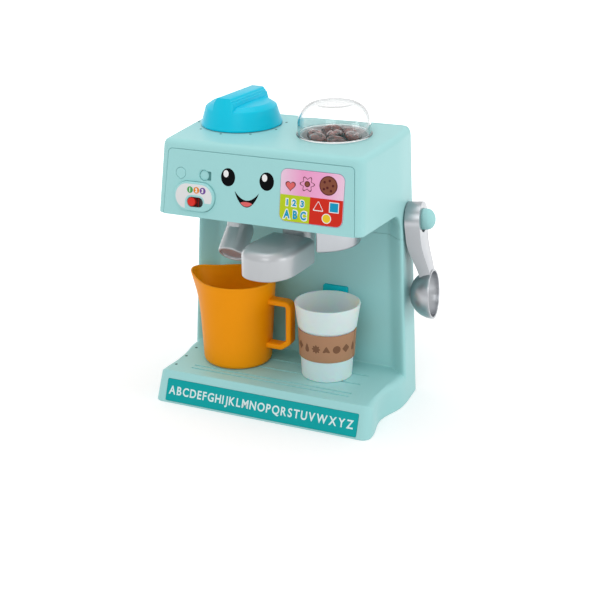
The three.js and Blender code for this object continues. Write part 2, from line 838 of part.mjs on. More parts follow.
const modeOutline = (grow) => roundedRect(
  modeWidth + 2 * grow, modeHeight + 2 * grow, modeHeight / 2 + grow, modeU, modeV,
);
const slotOutline = (grow) => roundedRect(
  slotWidth + 2 * grow, slotHeight + 2 * grow, slotHeight / 2 + grow, slotU, slotV,
);
const displayOutline = (grow) => roundedRect(
  displayWidth + 2 * grow, displayHeight + 2 * grow, displayRadius + grow, displayU, displayV,
);
const panelCuts = [
  slab(modeOutline(gap), -wall - overrun, overrun),
  slab(displayOutline(gap), -displayThickness - gap + inlayProud, overrun),
  rod(buttonRadius + gap, -wall - overrun, overrun, buttonU, buttonV),
  slab(lensShape(gap), -lensThickness - gap, overrun),
  box(
    buttonU, buttonU + buttonRadius + notchWidth / 2,
    buttonV - notchHeight / 2, buttonV + notchHeight / 2, -notchDepth, overrun,
  ),
];
const postPlaces = [-1, 1].flatMap((sideSign) => [-1, 1].map((end) => [
  sideSign * (boardWidth / 2 - postInset), boardV + end * (boardHeight / 2 - postRadius - wall),
]));
const posts = postPlaces.map(([u, v]) => rod(postRadius, -boardBack + gap, -wall / 2, u, v, coarse));
const panel = cut(union(slab(panelShape(0, 0), -wall, 0), ...posts), ...panelCuts);
piece('front_panel', panel, plastic('mint'), face);

piece('display_window', slab(displayOutline(0), inlayProud - displayThickness, inlayProud),
  plastic('pink', 0.3), face);

piece('round_lens', slab(lensShape(0), -lensThickness, 0, medium / 2), plastic('mint', 0.35), face);

// Mode switch

const carriageReach = (carriageWidth + sliderTravel) / 2 + 2 * gap;
const carriagePocket = box(
  slotU - carriageReach, slotU + carriageReach,
  slotV - carriageHeight / 2 - gap, slotV + carriageHeight / 2 + gap,
  -wall - overrun, -wall + carriageThickness + 2 * gap,
);
const labelOutline = (grow) => roundedRect(
  modeWidth - 2 * (labelInset - grow), modeHeight - 2 * (labelInset - grow),
  modeHeight / 2 - labelInset + grow, modeU, modeV,
);
const labelNotch = (grow) => union(
  slab(slotOutline(labelClear - grow), 0, modeProud + overrun),
  box(
    slotU - slotWidth / 2 - labelClear + grow, modeU + modeWidth,
    slotV - modeHeight, slotV, 0, modeProud + overrun,
  ),
);
const labelPocket = cut(
  slab(labelOutline(gap), modeProud - labelThickness - gap, modeProud + overrun),
  labelNotch(gap),
);
const housing = cut(
  slab(modeOutline(0), -wall, modeProud),
  slab(slotOutline(0), -wall - overrun, modeProud + overrun),
  carriagePocket,
  labelPocket,
);
piece('mode_housing', housing, plastic('mint'), face);
const label = cut(
  slab(labelOutline(0), modeProud - labelThickness, modeProud),
  labelNotch(0),
);
piece('mode_label', label, plastic('white', 0.3), face);

const sliderU = slotU - sliderTravel / 2;
const slider = union(
  box(
    sliderU - carriageWidth / 2, sliderU + carriageWidth / 2,
    slotV - carriageHeight / 2, slotV + carriageHeight / 2, -wall, -wall + carriageThickness,
  ),
  rod(sliderRadius, -wall + carriageThickness / 2, modeProud, sliderU, slotV),
);
piece('mode_slider', slider, plastic('red', 0.35), face);
piece('mode_switch', box(
  slotU - carriageWidth, slotU + carriageWidth, slotV - carriageHeight / 2, slotV + carriageHeight / 2,
  -boardBack + gap, -wall - gap,
), plastic('dark', 0.6), face);

// Push button

const buttonTop = -buttonSink;
const button = union(
  rod(buttonRadius, buttonTop - buttonLength, buttonTop, buttonU, buttonV),
  rod(buttonFlangeRadius, -wall - gap - buttonFlangeThickness, -wall - gap, buttonU, buttonV),
);
piece('push_button', button, plastic('mint', 0.35), face);

// Circuit board with its switch block and lamp

const boardFront = -boardBack;
const tactTop = buttonTop - buttonLength - buttonTravel - gap;
const board = union(
  box(
    -boardWidth / 2, boardWidth / 2, boardV - boardHeight / 2, boardV + boardHeight / 2,
    boardFront - boardThickness, boardFront,
  ),
  box(
    buttonU - tactSize / 2, buttonU + tactSize / 2, buttonV - tactSize / 2, buttonV + tactSize / 2,
    boardFront - boardThickness / 2, tactTop,
  ),
);
piece('circuit_board', board, plastic('board', 0.5), face);
piece('display_lamp', union(
  rod(ledRadius, boardFront + gap, boardFront + ledHeight, displayU, displayV, coarse),
  new THREE.SphereGeometry(ledRadius, coarse, coarse / 2)
    .translate(displayU, displayV, boardFront + ledHeight),
), plastic('white', 0.2), face);

// Dial: shell, grip, spindle, detent block and clip

function coneRadius(height) {
  const slope = (dialShoulderRadius - dialRadius) / (dialShoulderHeight - dialLip);
  return dialRadius + slope * (height - dialLip);
}

const dialCrown = dialCrownShares.map((share) => share * dialShoulderRadius);
const dialShell = turned([
  [0, dialHeight], [dialCrown[0], dialHeight - dialCrownDrop], [dialCrown[1], dialHeight - dialWall],
  [dialCrown[2], dialShoulderHeight + dialWall], [dialShoulderRadius, dialShoulderHeight],
  [dialRadius, dialLip], [dialRadius, dialFloat], [dialRadius - dialWall, dialFloat],
  [dialShoulderRadius - dialWall, dialShoulderHeight - dialWall],
  [dialHubRadius, dialShoulderHeight - dialWall / 2], [dialHubRadius, dialFloat], [0, dialFloat],
]);
const ribZ = gripHeight - gripRibDrop * gripStep;
const ledgeZ = gripHeight - gripLedgeDrop * gripStep;
const gripSide = [
  [gripFootHalf, dialShoulderHeight],
  [gripFootHalf - gripLedgeShare * gripStep, ribZ],
  [gripFootHalf - gripRibShare * gripStep, ribZ],
  [gripFootHalf - gripRibShare * gripStep, ledgeZ],
  [gripTopHalf, gripHeight - gripStep / 2],
  [gripTopHalf - gripStep, gripHeight],
];
const gripOtherSide = gripSide.map(([x, z]) => [-x, z]).reverse();
const gripShape = new THREE.Shape([...gripSide, ...gripOtherSide].map(([x, z]) => new THREE.Vector2(x, z)));
const coneTop = gripHeight + gripStep;
const coneFoot = dialShoulderHeight - dialLip;
const gripCone = turned([
  [0, coneTop], [coneRadius(coneTop), coneTop], [coneRadius(coneFoot), coneFoot], [0, coneFoot],
]);
const grip = common(alongY(gripShape, -dialRadius, dialRadius, 1), gripCone);
const dialFrame = new THREE.Matrix4().makeRotationZ(radians(gripHeading)).setPosition(dialX, dialY, 0);
const dial = frameGroup(dialFrame, top);
piece('dial_knob', union(dialShell, grip), plastic('knob', 0.35), dial);
piece('dial_spindle', rod(spindleRadius, -spindleLength, dialFloat - gap), plastic('white', 0.5), dial);
const detentTop = -wall - gap;
const detent = cut(
  rod(detentRadius, detentTop - detentHeight, detentTop, dialX, dialY),
  rod(spindleRadius + gap, -spindleLength, overrun, dialX, dialY),
);
piece('dial_detent', detent, plastic('dark', 0.6), top);
const clip = cut(
  rod(clipRadius, detentTop - detentHeight - gap - clipThickness, detentTop - detentHeight - gap),
  rod(spindleRadius + gap / 2, -spindleLength - overrun, overrun),
);
piece('dial_clip', clip, plastic('silver', 0.4, 1), dial);

// Bean dish, beans and clear dome

const dish = turned([
  [0, -dishDepth], [dishRadius, -dishDepth], [dishRadius, 0], [dishRadius - dishWall, 0],
  [dishRadius - dishWall, -dishDepth + dishWall], [0, -dishDepth + dishWall],
]).translate(beanX, beanY, 0);
piece('bean_dish', dish, plastic('white', 0.4), top);

function bean() {
  return new THREE.SphereGeometry(1 / 2, beanSides, beanSides / 2).scale(beanLength, beanWidth, beanHeight);
}

const beanZ = -dishDepth + dishWall + gap + beanHeight / 2;
for (let number = 0; number <= beanCount; number += 1) {
  const turn = 2 * Math.PI * number / beanCount;
  const reach = number < beanCount ? beanRing : 0;
  const mesh = piece(`bean_${number + 1}`, bean(), plastic('bean', 0.35), top);
  mesh.position.set(beanX + reach * Math.cos(turn), beanY + reach * Math.sin(turn), beanZ);
  mesh.rotation.z = turn + Math.PI / 2;
}

function domeProfile(inset) {
  const points = [];
  const base = domeHeight * domeShoulderShare;
  for (let step = 0; step <= cornerSteps; step += 1) {
    const turn = Math.PI / 2 * step / cornerSteps;
    points.push([
      lerp(domeFlatRadius, domeRadius, Math.cos(turn)) - inset,
      lerp(base, domeHeight, Math.sin(turn)) - inset * Math.sin(turn),
    ]);
  }
  return points;
}

const outerDome = domeProfile(0).reverse();
const innerDome = domeProfile(domeWall);
const dome = turned([
  [0, domeHeight], ...outerDome, [domeRadius, domeFoot], [domeFootRadius, domeFoot], [domeFootRadius, gap],
  [domeRadius - domeWall, gap], ...innerDome, [0, domeHeight - domeWall],
]).translate(beanX, beanY, 0);
piece('bean_dome', dome, plastic('clear', 0.1), top);

// Grinder chute: a segment of a round drum with its flat side towards the portafilter

const chuteTop = headBottomZ - gap;
const chuteOuter = turned([
  [0, chuteBottomZ], [chuteRadius - chuteEdge, chuteBottomZ],
  [chuteRadius - chuteEdge * chuteEdgeShare, chuteBottomZ + chuteEdge * chuteEdgeShare],
  [chuteRadius, chuteBottomZ + chuteEdge], [chuteRadius, chuteTop], [0, chuteTop],
], fine).translate(chuteX, chuteY, 0);
const chuteInner = rod(
  chuteRadius - chuteWall, chuteBottomZ + chuteWall, chuteTop + overrun, chuteX, chuteY, fine,
);
const rightHalf = (flat) => box(
  flat, chuteX + 2 * chuteRadius, chuteY - 2 * chuteRadius, chuteY + 2 * chuteRadius,
  chuteBottomZ - overrun, chuteTop + 2 * overrun,
);
const chute = cut(
  common(chuteOuter, rightHalf(chuteFlatX)),
  common(chuteInner, rightHalf(chuteFlatX + chuteWall)),
);
piece('grinder_chute', chute, plastic('silver', 0.35, 0.7), toy);

// Portafilter and the collar that keeps it in the head

// Outline at a height, drawn in by an inset: a superellipse nose, two sides and the flat back end
function paddleRing(z, inset) {
  const ring = [];
  const noseStart = paddleFront - paddleNose;
  const side = (part, way) => {
    const half = lerp(paddleBackHalf, paddleHalfWidth, 1 - (1 - part) ** 2) - inset;
    return new THREE.Vector3(way * half, -lerp(paddleBack, noseStart, part), z);
  };
  for (let step = 0; step < cornerSteps; step += 1) {
    ring.push(side(step / cornerSteps, -1));
  }
  for (let step = 0; step <= medium; step += 1) {
    const turn = Math.PI * step / medium;
    const across = Math.sign(-Math.cos(turn)) * Math.abs(Math.cos(turn)) ** (2 / paddleNosePower);
    const ahead = Math.sin(turn) ** (2 / paddleNosePower);
    ring.push(new THREE.Vector3(
      (paddleHalfWidth - inset) * across, -noseStart - (paddleNose - inset) * ahead, z,
    ));
  }
  for (let step = cornerSteps - 1; step >= 0; step -= 1) {
    ring.push(side(step / cornerSteps, 1));
  }
  return ring;
}

const paddleRings = [paddleRing(paddleBottomZ, paddleFoot), paddleRing(paddleBottomZ + paddleFoot, 0)];
for (let step = 0; step <= cornerSteps; step += 1) {
  const turn = Math.PI / 2 * step / cornerSteps;
  paddleRings.push(paddleRing(
    paddleTopZ - paddleEdge * (1 - Math.sin(turn)), paddleEdge * (1 - Math.cos(turn)),
  ));
}
const neckTop = headBottomZ + neckRise;
const neck = rod(neckRadius, paddleBottomZ + postFootRise, neckTop, 0, 0, fine);
const portafilter = frameGroup(
  new THREE.Matrix4().makeRotationZ(radians(portafilterTurn)).setPosition(portafilterX, portafilterY, 0),
  toy,
);
piece('portafilter', union(loft(paddleRings), neck), plastic('silver', 0.3, 0.8), portafilter);
const collarZ = headBottomZ + wall + gap;
const collar = cut(
  rod(neckRadius + collarReach, collarZ, collarZ + collarThickness, 0, 0, fine),
  rod(neckRadius + gap, collarZ - overrun, collarZ + overrun, 0, 0, fine),
);
piece('portafilter_collar', collar, plastic('white', 0.5), portafilter);

// Steam wand: a stub that turns in the head, a knuckle and a leaning barrel

const barrel = turned([
  [0, 0], [wandKnuckleRadius, 0], [wandTipRadius, -wandLength + wandMouthRim],
  [wandTipRadius - wandMouthRim / 2, -wandLength], [wandTipRadius - wandMouthRim, -wandLength],
  [wandTipRadius - wandMouthWidth, -wandLength + wandMouthDepth], [0, -wandLength + wandMouthDepth],
], medium).rotateX(-radians(wandTilt)).translate(0, 0, wandKnuckleZ);
const wand = union(
  barrel,
  new THREE.SphereGeometry(wandKnuckleRadius, medium, medium / 2).rotateX(Math.PI / 2)
    .translate(0, 0, wandKnuckleZ),
  rod(wandStubRadius, wandKnuckleZ, headBottomZ - gap),
  rod(wandShaftRadius, wandKnuckleZ, headBottomZ + neckRise),
);
const wandGroup = frameGroup(new THREE.Matrix4().makeTranslation(wandX, wandY, 0), toy);
piece('steam_wand', wand, plastic('silver', 0.3, 0.8), wandGroup);
const wandCollar = cut(
  rod(wandShaftRadius + collarReach, collarZ, collarZ + collarThickness),
  rod(wandShaftRadius + gap, collarZ - overrun, collarZ + overrun),
);
piece('wand_collar', wandCollar, plastic('white', 0.5), wandGroup);

// Cup sensor tab and the switch that it presses

const tabMiddleZ = tabTopZ - tabHeight / 2;
const tabBack = bayWallY + wall + gap;
const tabShape = roundedRect(tabWidth, tabHeight, tabRadius, tabX, tabMiddleZ);
const tab = union(
  alongY(tabShape, bayWallY - tabProud, tabBack + tabFlange),
  box(
    tabX - tabWidth / 2 - tabFlange, tabX + tabWidth / 2 + tabFlange, tabBack, tabBack + tabFlange,
    tabMiddleZ - tabHeight / 2 - tabFlange, tabMiddleZ + tabHeight / 2 + tabFlange,
  ),
);
piece('cup_sensor', tab, plastic('teal', 0.35), toy);
const sensorFront = tabBack + tabFlange + tabTravel + gap;
const bracketHalf = tabWidth / 2 + tabFlange + gap + bracketThickness;
const sensorSwitch = cut(
  box(
    tabX - bracketHalf, tabX + bracketHalf, tabBack, sensorFront + bracketThickness,
    tabMiddleZ - sensorBodyHalf, tabMiddleZ + sensorBodyHalf,
  ),
  box(
    tabX - bracketHalf + bracketThickness, tabX + bracketHalf - bracketThickness,
    tabBack - overrun, sensorFront, tabMiddleZ - tabWidth, tabMiddleZ + tabWidth,
  ),
);
const sensorBody = box(
  tabX - sensorBodyHalf, tabX + sensorBodyHalf, sensorFront, sensorFront + tabDepth,
  tabMiddleZ - sensorBodyHalf, tabMiddleZ + sensorBodyHalf,
);
piece('sensor_switch', union(sensorSwitch, sensorBody), plastic('dark', 0.6), toy);

// Speaker on the rear cover

const speakerBack = baseBackY - wall - gap;
const speaker = union(
  rod(speakerRadius, 0, speakerRimDepth, 0, 0, fine),
  rod(speakerRadius / 2, 0, speakerDepth, 0, 0, medium),
);
piece('speaker', toGeometry(speaker).rotateX(Math.PI / 2).translate(0, speakerBack, speakerZ),
  plastic('dark', 0.7), toy);

// Hook and scoop

// Both have their own frame with the scoop's face plane at zero, u to the back, v up and w outwards
const hookFrame = new THREE.Matrix4().makeRotationZ(radians(hookYaw))
  .multiply(new THREE.Matrix4().makeRotationY(-radians(hookLean)))
  .multiply(new THREE.Matrix4().set(0, 0, 1, 0, 1, 0, 0, 0, 0, 1, 0, 0, 0, 0, 0, 1))
  .setPosition(scoopFaceX, hookY, hookZ);
const pegLift = scoopHoleRadius - hookPegRadius * hookPegRise - gap;
const pegShape = new THREE.Shape();
pegShape.absellipse(0, pegLift, hookPegRadius, hookPegRadius * hookPegRise, 0, 2 * Math.PI);
const hookFoot = -scoopStandOff - overrun;
const hookRaw = union(
  rod(hookFlangeRadius, hookFoot, -scoopThickness - gap),
  slab(pegShape, hookFoot, hookReach - hookPegRadius, medium),
  new THREE.SphereGeometry(hookPegRadius, medium, medium / 2).rotateX(Math.PI / 2).scale(1, hookPegRise, 1)
    .translate(0, pegLift, hookReach - hookPegRadius),
);
const hookGeometry = toGeometry(hookRaw).applyMatrix4(hookFrame);
piece('scoop_hook', cut(hookGeometry, bodyBlock(-gap)), plastic('mint'), toy);

const scoopGroup = frameGroup(hookFrame, toy);
const scoopTop = scoopRingRadius;
const neckEnd = -scoopDrop + scoopBowlRadius * scoopNeckShare;

function scoopOutline(inset) {
  const shape = new THREE.Shape();
  const half = scoopNeckHalf - inset;
  const ring = scoopRingRadius - inset;
  const touch = Math.atan2(neckEnd, half) + Math.acos(ring / Math.hypot(half, neckEnd));
  shape.moveTo(-half, neckEnd);
  shape.lineTo(half, neckEnd);
  shape.absarc(0, 0, ring, touch, Math.PI - touch);
  shape.closePath();
  return shape;
}

function scoopSide(faceInset, backInset) {
  const bend = -scoopDrop * scoopBendShare;
  const steps = 2 * cornerSteps;
  const front = [];
  const back = [];
  for (let step = 0; step <= steps; step += 1) {
    const v = lerp(bend, neckEnd, step / steps);
    const ease = (1 - Math.cos(Math.PI * step / steps)) / 2;
    front.push([v, scoopForward * ease - faceInset]);
    back.push([v, scoopForward * ease - lerp(scoopThickness, scoopNeckThickness, ease) - backInset]);
  }
  const shape = new THREE.Shape();
  shape.moveTo(scoopTop + overrun, -faceInset);
  shape.lineTo(scoopTop + overrun, -scoopThickness - backInset);
  back.forEach(([v, w]) => shape.lineTo(v, w));
  front.reverse().forEach(([v, w]) => shape.lineTo(v, w));
  shape.closePath();
  return shape;
}

// Outline in v and w carried along u
function acrossU(shape, u0, u1) {
  const turn = new THREE.Matrix4().set(0, 0, 1, u0, 1, 0, 0, 0, 0, 1, 0, 0, 0, 0, 0, 1);
  return extruded(shape, u1 - u0, 1).applyMatrix4(turn);
}

const wide = scoopRingRadius + overrun;
const deep = scoopThickness + scoopForward + overrun;
const handleOutline = (inset) => slab(scoopOutline(inset), -deep, deep, medium / 2);
const handleSide = (faceInset, backInset) => acrossU(scoopSide(faceInset, backInset), -wide, wide);
const handleSolid = common(handleOutline(0), handleSide(0, 0));
const channel = common(
  common(handleOutline(scoopWall), handleSide(scoopWall, overrun)),
  box(-wide, wide, neckEnd - overrun, -scoopRingRadius - scoopWall, -deep, deep),
);
const bowlOuter = new THREE.SphereGeometry(scoopBowlRadius, fine, medium / 2)
  .scale(1, 1, scoopBowlDepth / scoopBowlRadius).translate(0, -scoopDrop, scoopForward);
const bowlInner = new THREE.SphereGeometry(scoopBowlRadius - scoopWall, fine, medium / 2)
  .scale(1, 1, (scoopBowlDepth - scoopWall) / (scoopBowlRadius - scoopWall))
  .translate(0, -scoopDrop, scoopForward);
const behindRim = box(
  -2 * scoopBowlRadius, 2 * scoopBowlRadius, -2 * scoopDrop, scoopTop + overrun,
  -deep - scoopBowlDepth, scoopForward,
);
const scoop = cut(
  union(cut(handleSolid, channel), common(bowlOuter, behindRim)),
  bowlInner,
  rod(scoopHoleRadius, -deep, deep, 0, 0, medium),
);
piece('scoop', scoop, plastic('silver', 0.35, 0.7), scoopGroup);

// Pitcher

const trayTop = baseHeight + gap;

function pitcherRing(height, inset) {
  const ring = [];
  const share = height / pitcherHeight;
  let radius = lerp(pitcherLowRadius, pitcherRimRadius, share);
  if (height < pitcherFootRise) {
    const rise = 1 - height / pitcherFootRise;
    radius = lerp(radius, pitcherFootRadius, 1 - Math.sqrt(1 - rise * rise));
  }
  const swell = Math.max(0, (share - spoutStartShare) / (1 - spoutStartShare)) ** 2;
  for (let step = 0; step < fine; step += 1) {
    const turn = 2 * Math.PI * step / fine;
    const off = THREE.MathUtils.radToDeg(Math.abs(turn - Math.PI)) / spoutSpread;
    const lip = swell * Math.exp(-off * off);
    const reach = radius - inset + spoutReach * lip;
    const lift = share > spoutLipShare ? spoutRise * lip : 0;
    ring.push(new THREE.Vector3(
      reach * Math.cos(turn), reach * Math.sin(turn), trayTop + height + lift,
    ));
  }
  return ring;
}

const pitcherLevels = pitcherLevelShares.map((share) => share * pitcherHeight);
const innerLevels = [...pitcherLevels].reverse().slice(0, -2);
const pitcherBody = loft([
  pitcherRing(0, 0), pitcherRing(pitcherFootRise / 2, 0),
  ...pitcherLevels.slice(2).map((height) => pitcherRing(height, 0)),
  ...innerLevels.map((height) => pitcherRing(height, pitcherWall)),
  pitcherRing(pitcherFootRise, 2 * pitcherWall),
]);
const handleShape = new THREE.Shape();
const handleTop = trayTop + pitcherHeight - handleTopDrop;
const handleLow = handleTop - handleHeight;
const bodyAt = (z) => lerp(pitcherLowRadius, pitcherRimRadius, (z - trayTop) / pitcherHeight);
const handleOut = bodyAt(handleTop) + handleReach;
const rootIn = bodyAt(handleLow) - pitcherWall / 2;
handleShape.moveTo(rootIn, handleLow);
handleShape.lineTo(handleOut - handleChamfer, handleLow);
handleShape.lineTo(handleOut, handleLow + handleChamfer);
handleShape.lineTo(handleOut, handleTop - handleChamfer / 2);
handleShape.lineTo(handleOut - handleChamfer / 2, handleTop);
handleShape.lineTo(rootIn, handleTop);
handleShape.closePath();
const handleHole = new THREE.Path();
const holeOut = handleOut - handleBar;
const holeChamfer = handleChamfer - handleBar * (2 - Math.SQRT2);
handleHole.moveTo(rootIn - overrun, handleLow + handleBar);
handleHole.lineTo(holeOut - holeChamfer, handleLow + handleBar);
handleHole.lineTo(holeOut, handleLow + handleBar + holeChamfer);
handleHole.lineTo(holeOut, handleTop - handleBar);
handleHole.lineTo(rootIn - overrun, handleTop - handleBar);
handleHole.closePath();
const handleLoop = cut(
  alongY(handleShape, -handleWidth / 2, handleWidth / 2, 1),
  alongY(new THREE.Shape(handleHole.getPoints()), -handleWidth, handleWidth, 1),
);
const pitcherInside = loft([
  pitcherRing(pitcherFootRise, 2 * pitcherWall),
  ...innerLevels.slice().reverse().map((height) => pitcherRing(height, pitcherWall)),
]);
const pitcherGroup = frameGroup(new THREE.Matrix4().makeTranslation(pitcherX, pitcherY, 0), toy);
piece('pitcher', union(pitcherBody, cut(handleLoop, pitcherInside)), plastic('orange', 0.4), pitcherGroup);

// Cup and sleeve

const cupRadiusAt = (height) => (height <= cupCollarHeight
  ? lerp(cupFootRadius, cupStepRadius, height / cupCollarHeight)
  : lerp(cupCollarRadius, cupRimRadius, (height - cupCollarHeight) / (cupHeight - cupCollarHeight)));
const cup = turned([
  [0, 0], [cupFootRadius, 0], [cupStepRadius, cupCollarHeight - cupCollarRise],
  [cupCollarRadius, cupCollarHeight], [cupRimRadius, cupHeight], [cupRimRadius - cupWall, cupHeight],
  [cupCollarRadius - cupWall, cupCollarHeight], [cupFootRadius - cupWall, cupWall], [0, cupWall],
]).translate(0, 0, trayTop);
const cupGroup = frameGroup(new THREE.Matrix4().makeTranslation(cupX, cupY, 0), toy);
piece('cup', cup, plastic('white', 0.4), cupGroup);

const stepHeight = cupCollarHeight - cupCollarRise;
const sleeveTop = stepHeight - gap;
const sleeveInner = (height) => lerp(cupFootRadius, cupStepRadius, height / stepHeight) + gap;
const sleeve = cut(
  turned([
    [sleeveInner(sleeveBottom), sleeveBottom], [sleeveInner(sleeveBottom) + sleeveThickness, sleeveBottom],
    [sleeveInner(sleeveTop) + sleeveThickness, sleeveTop], [sleeveInner(sleeveTop), sleeveTop],
    [sleeveInner(sleeveBottom), sleeveBottom],
  ]),
  box(0, 2 * cupRadiusAt(cupHeight), -sleeveSlit / 2, sleeveSlit / 2, 0, cupHeight),
);
piece('cup_sleeve', toGeometry(sleeve).translate(0, 0, trayTop), plastic('brown', 0.8), cupGroup);

// Letter strip

piece('letter_strip', slab(
  roundedRect(2 * stripHalfWidth, stripHeight, stripRadius, 0, stripMiddle),
  inlayProud - stripThickness,
  inlayProud,
), plastic('teal', 0.35), baseFace);

export default toy;
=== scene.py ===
# Looks of the toy coffee maker, its pitcher, cup and scoop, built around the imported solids.
# Shapes are worked out in millimetres, with X to the right, Y to the back and Z up.
import math

import bmesh
import bpy
import numpy as np
from mathutils import Matrix, Vector


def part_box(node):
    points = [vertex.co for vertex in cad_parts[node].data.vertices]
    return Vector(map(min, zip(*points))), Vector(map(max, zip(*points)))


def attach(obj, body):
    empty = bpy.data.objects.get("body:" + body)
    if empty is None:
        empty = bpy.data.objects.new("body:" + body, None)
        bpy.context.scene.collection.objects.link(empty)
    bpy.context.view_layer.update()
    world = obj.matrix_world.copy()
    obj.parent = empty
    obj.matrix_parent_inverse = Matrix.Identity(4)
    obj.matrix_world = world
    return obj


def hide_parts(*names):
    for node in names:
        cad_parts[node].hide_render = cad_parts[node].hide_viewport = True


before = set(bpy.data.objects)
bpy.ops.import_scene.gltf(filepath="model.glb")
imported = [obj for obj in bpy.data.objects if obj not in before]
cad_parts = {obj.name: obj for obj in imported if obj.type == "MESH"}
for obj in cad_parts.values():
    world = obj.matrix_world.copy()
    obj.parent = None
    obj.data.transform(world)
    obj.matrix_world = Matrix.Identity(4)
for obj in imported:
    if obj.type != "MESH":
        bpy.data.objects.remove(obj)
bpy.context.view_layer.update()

MM = 0.001
WELD = 0.000002
SHARP_DEGREES, PRINT_SHARP_DEGREES = 32, 40
SLICE_PITCH, SLICE_FROM, SLICE_TO = 0.012, -0.15, 0.33

# Housing, with the same values as the solids
BASE_FRONT, BASE_BACK = -77.0, 77.0
BASE_HEIGHT, BASE_LEAN = 34.0, 0.375
HALF_WIDTH, TAPER, SPLAY = 132.2, 0.053, 0.056
WIDEST_Y, WIDEST_ROUND = 28.0, 5.0
CEILING_Z, HEAD_FRONT, HEAD_LEAN = 218.0, -74.3, 0.129
TOP_Z, TOP_SLOPE = 298.2, 0.047
FRONT_ROUND, BACK_ROUND, TOP_ROUND, FOOT_ROUND = 9.0, 12.0, 7.0, 0.8
TRAY_ROUND, CHEEK_ROUND, CEILING_ROUND = 8.0, 3.4, 1.3
WALL, GAP = 2.5, 0.3
SEAM_Z, REAR_SPLIT = 188.0, 66.0
SCALLOP_DEPTH, SCALLOP_START, SCALLOP_END, SCALLOP_POWER = 8.0, -66.5, 19.6, 0.3
BAY_WALL_Y, CHEEK_Y, BAY_FLAT_SHARE = 43.0, 28.0, 0.813
BAY_WALL_FILLET, CHEEK_FILLET, TRAY_FILLET = 14.0, 22.0, 1.5
FRONT_EDGE_ROUND, LEAST_ROUND, LEAST_TOP_ROUND = 1.2, 0.6, 2.0

# How the housing's skin is laid out: two bands of close lines by each side, then wider ones to the middle
SHARE_WIDTH, SIDE_BAND, NEXT_BAND = 125.0, 12.0, 25.0
BAND_LINES, NEXT_LINES, MIDDLE_LINES = 15, 10, 7
OUTER_STEPS, INNER_STEPS = [12, 20, 40, 20] * 2, [6, 8, 12, 8] * 2
OUTER_ARC, INNER_ARC = 8, 4


# Mesh tools

def grid_faces(rows, cols, wrap_rows=False, wrap_cols=False):
    """Quads of a grid of points that are stored row by row."""
    r = np.arange(rows if wrap_rows else rows - 1)[:, None] * cols
    below = (r + cols) % (rows * cols)
    c = np.arange(cols if wrap_cols else cols - 1)[None]
    after = (c + 1) % cols
    return np.stack([r + c, r + after, below + after, below + c], -1).reshape(-1, 4).tolist()


def combine(*shapes):
    """Several (points, faces) shapes as one."""
    points, faces, start = [], [], 0
    for shape_points, shape_faces in shapes:
        points.append(np.asarray(shape_points, float).reshape(-1, 3))
        faces += [[index + start for index in face] for face in shape_faces]
        start += len(points[-1])
    return np.concatenate(points), faces


def ring_shape(rings, capped=True):
    """A closed skin over a stack of rings (ring, point, xyz); the first and the last ring are filled."""
    rings = np.asarray(rings, float)
    count, around = rings.shape[:2]
    faces = grid_faces(count, around, wrap_cols=True)
    if capped:
        faces.append(list(range(around))[::-1])
        faces.append(list(range((count - 1) * around, count * around)))
    return rings.reshape(-1, 3), faces


def place(shape, matrix):
    """The same shape with every point carried by a 4 by 4 matrix."""
    points, faces = shape
    matrix = np.array(matrix)
    return np.asarray(points).reshape(-1, 3) @ matrix[:3, :3].T + matrix[:3, 3], faces


def raw_object(name, shape):
    """An object at the origin; its points in millimetres are merged and its faces turned outwards."""
    points, faces = shape
    mesh = bpy.data.meshes.new(name)
    mesh.from_pydata((np.asarray(points).reshape(-1, 3) * MM).tolist(), [], faces)
    work = bmesh.new()
    work.from_mesh(mesh)
    bmesh.ops.remove_doubles(work, verts=work.verts, dist=WELD)
    bmesh.ops.dissolve_degenerate(work, edges=work.edges, dist=WELD)
    bmesh.ops.recalc_face_normals(work, faces=work.faces)
    work.to_mesh(mesh)
    work.free()
    obj = bpy.data.objects.new(name, mesh)
    bpy.context.scene.collection.objects.link(obj)
    return obj


def settle(obj):
    """Puts the result of the object's modifiers into its mesh."""
    graph = bpy.context.evaluated_depsgraph_get()
    mesh = bpy.data.meshes.new_from_object(obj.evaluated_get(graph))
    obj.modifiers.clear()
    old, obj.data = obj.data, mesh
    bpy.data.meshes.remove(old)
    return obj


def sliced(obj):
    """Parts the faces of a cutting tool by even planes along all three axes, so that its cuts stay small."""
    work = bmesh.new()
    work.from_mesh(obj.data)
    for normal in np.eye(3):
        for reach in np.arange(SLICE_FROM, SLICE_TO, SLICE_PITCH):
            bmesh.ops.bisect_plane(work, geom=work.verts[:] + work.edges[:] + work.faces[:],
                                   plane_co=normal * reach, plane_no=normal)
    work.to_mesh(obj.data)
    work.free()
    return obj


def carve(obj, *shapes, operation="DIFFERENCE"):
    """Cuts, joins or keeps what is common to the object and each shape in turn."""
    for shape in shapes:
        tool = shape if isinstance(shape, bpy.types.Object) else raw_object("tool", shape)
        step = obj.modifiers.new("carve", "BOOLEAN")
        step.object, step.operation, step.solver = tool, operation, "MANIFOLD"
        settle(obj)
        bpy.data.objects.remove(tool)
    return obj


def finish(obj, material, body, *nodes, angle=SHARP_DEGREES):
    """Smooth faces with sharp edges past an angle, a material, a body to ride on and nodes to replace."""
    mesh = obj.data
    mesh.materials.clear()
    mesh.materials.append(material)
    mesh.polygons.foreach_set("material_index", np.zeros(len(mesh.polygons), np.int32))
    mesh.shade_smooth()
    mesh.set_sharp_from_angle(angle=math.radians(angle))
    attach(obj, body)
    if nodes:
        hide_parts(*nodes)
    return obj


def part(name, shape, material, body, *nodes, angle=SHARP_DEGREES):
    """A finished piece straight from a shape."""
    return finish(raw_object(name, shape), material, body, *nodes, angle=angle)


